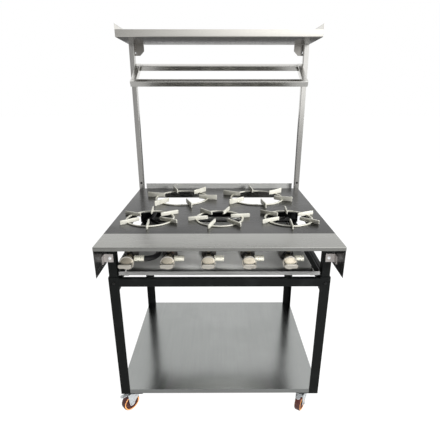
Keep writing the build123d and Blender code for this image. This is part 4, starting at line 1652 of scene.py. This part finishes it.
@dataclass
class Studio:
    """White backdrop, lamps and the camera of the photograph.

    A lamp is its name, place, size and power. The card is half its width, its place along Y, its bottom and
    its top.
    """

    camera_place: Triple = (-0.003, -1.4955, 1.308)
    pitch: float = 19.45
    yaw: float = -0.22
    lens: float = 29.42
    sensor: float = 36.0
    clip: Pair = (0.01, 100.0)
    lamps: tuple[tuple[str, Triple, float, float], ...] = (
        ("key", (3.2, -1.7, 1.9), 1.2, 330.0),
        ("side", (-2.4, -2.4, 3.2), 2.4, 4.0),
        ("back", (0.6, 3.0, 3.2), 2.4, 12.0),
        ("front", (0.1, -2.2, 1.15), 0.06, 66.0),
    )
    aim: Triple = (0.0, 0.0, 0.75)
    fill: float = 0.42
    fill_slope: Pair = (0.6, -0.45)
    front_levels: Pair = (-0.25, 0.25)
    swell: float = 2.6
    swell_span: Pair = (-0.75, 0.6)
    floor_half: float = 20.0
    floor_grey: Triple = (0.82, 0.82, 0.82)
    floor_rough: float = 0.9
    floor_near: float = 0.5
    floor_far: float = 0.12
    floor_fade: Pair = (1.0, 6.0)
    floor_glow: float = 1.09
    floor_shares: Pair = (0.92, 0.95)
    card: tuple[float, float, float, float] = (0.7, -1.0, 0.935, 1.25)

    def camera(self) -> None:
        """Set up the camera, level and a little turned, looking down on the hob."""
        data = bpy.data.cameras.new("camera")
        data.lens = self.lens
        data.sensor_width = self.sensor
        data.clip_start, data.clip_end = self.clip
        camera = bpy.data.objects.new("camera", data)
        camera.location = self.camera_place
        camera.rotation_euler = (math.radians(90 - self.pitch), 0.0, math.radians(self.yaw))
        bpy.context.scene.collection.objects.link(camera)
        bpy.context.scene.camera = camera

    def light(self) -> None:
        """Hang the lamps, all aimed at the middle of the cooker."""
        for name, place, size, power in self.lamps:
            data = bpy.data.lights.new(name, "AREA")
            data.shape = "DISK"
            data.size = size
            data.energy = power
            lamp = bpy.data.objects.new(name, data)
            lamp.location = place
            lamp.visible_glossy = False
            way = Vector(self.aim) - Vector(place)
            lamp.rotation_euler = way.to_track_quat("-Z", "Y").to_euler()
            bpy.context.scene.collection.objects.link(lamp)

    def world(self) -> None:
        """White world to look at; mirrors see a front that brightens to the right, and light is softer."""
        world = bpy.data.worlds.new("studio")
        world.use_nodes = True
        bpy.context.scene.world = world
        tree = Tree(world.node_tree)
        way = tree.add("ShaderNodeTexCoord", {}, {}, "Object")
        across = tree.part(way, "X")
        front = tree.ramp(tree.part(way, "Y") * -1.0, self.front_levels)
        mirror = 1.0 + front * (across * self.swell).most(self.swell_span[0]).least(self.swell_span[1])
        slope = across * self.fill_slope[0] + tree.part(way, "Z") * self.fill_slope[1]
        soft = (slope + 1.0) * self.fill
        camera, glossy = tree.ray("Is Camera Ray"), tree.ray("Is Glossy Ray")
        level = camera + (1.0 - camera) * (glossy * mirror + (1.0 - glossy) * soft)
        back = world.node_tree.nodes["Background"]
        back.inputs["Color"].default_value = WHITE
        world.node_tree.links.new(level.socket, back.inputs["Strength"])

    def floor(self) -> None:
        """Floor that is white to look at with a faint shadow, and dims towards the back in mirrors."""
        half = self.floor_half
        floor = quad("floor", [(-half, -half, 0), (half, -half, 0), (half, half, 0), (-half, half, 0)])
        bench = Bench("floor")
        camera, glossy = bench.ray("Is Camera Ray"), bench.ray("Is Glossy Ray")
        plain = {"Base Color": shade(*self.floor_grey), "Roughness": self.floor_rough}
        floor.data.materials.append(bench.surface({**plain, "Specular IOR Level": 0.0}))
        fade = bench.ramp(bench.part(bench.place(), "Y"), self.floor_fade)
        mirror = self.floor_near - fade * (self.floor_near - self.floor_far)
        strength = camera * self.floor_glow + glossy * mirror
        glow = bench.add("ShaderNodeEmission", {}, {"Strength": strength})
        share = camera * self.floor_shares[0] + glossy * self.floor_shares[1]
        base = Ink(bench, bench.shader.outputs[0])
        mix = bench.add("ShaderNodeMixShader", {}, {0: share, 1: base, 2: glow})
        out = next(node for node in bench.tree.nodes if node.type == "OUTPUT_MATERIAL")
        bench.tree.links.new(mix.socket, out.inputs["Surface"])

    def flag(self) -> None:
        """Black card that keeps the front lamp off the hob and lets it in over the drip tray."""
        half, y, low, high = self.card
        card = quad("flag", [(-half, y, low), (half, y, low), (half, y, high), (-half, y, high)])
        card.visible_camera = card.visible_glossy = False
        card.visible_diffuse = card.visible_transmission = False

    def build(self) -> None:
        """Build the studio."""
        bpy.context.scene.view_settings.view_transform = "Standard"
        self.camera()
        self.light()
        self.world()
        self.floor()
        self.flag()


def dress_frame(cooker: Cooker) -> None:
    """Give every CAD node its finish.

    Args:
        cooker: the frame and its finishes.
    """
    look = cooker.finishes
    burners = [burner.name for burner in BURNERS]
    castors = [place[0] for place in Wheels.places]
    numbers = range(1, VALVE_COUNT + 1)
    stand = ("stand_legs", "stand_rails", "tray_runners", "hob_posts", "hob_rails")
    cooker.dress(look.hob, "hob_plate")
    cooker.dress(look.panel, "front_panel", "rear_apron")
    cooker.dress(look.skirt, "side_skirt_left", "side_skirt_right")
    cooker.dress(look.fascia, "top_shelf")
    cooker.dress(look.shelf, "bottom_shelf")
    cooker.dress(look.tray, "drip_tray")
    cooker.dress(look.upright, "uprights", "spigots")
    cooker.dress(look.gusset, "gussets")
    cooker.dress(look.rack, "rack_frame")
    cooker.dress(look.black, *stand, "burner_bars", "castor_plates", "manifold_clips")
    cooker.dress(look.plated, *(f"pan_support_{n}" for n in burners))
    cooker.dress(look.iron, *(f"burner_{n}" for n in burners), "burner_caps", "air_shutters")
    cooker.dress(look.valve, "gas_valves")
    cooker.dress(look.brass, "gas_inlet", *(f"valve_spindle_{k}" for k in numbers))
    cooker.dress(look.knob, *(f"knob_{k}" for k in numbers))
    cooker.dress(look.pipe, "manifold")
    cooker.dress(look.bracket, "leg_brackets")
    cooker.dress(look.zinc, "bolts")
    cooker.dress(look.castor, "castor_tops", *(f"castor_fork_{n}" for n in castors))
    cooker.dress(look.castor, "brake_pedal_front_left", "brake_pedal_front_right")
    cooker.dress(look.rubber, "gas_hose")
    cooker.dress(look.tread, *(f"castor_wheel_{n}" for n in castors))


def main() -> None:
    """Build the studio and the cooker's looks in order."""
    logging.basicConfig(level=logging.INFO, format="%(message)s")
    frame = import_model()
    Studio().build()
    cooker = Cooker(frame, Finishes())
    dress_frame(cooker)
    for assembly in (PanSupports, BurnerCaps, Knobs, Wheels, Bolts, SheetMetal, Fittings):
        assembly(cooker).build()


if __name__ == "__main__":
    main()
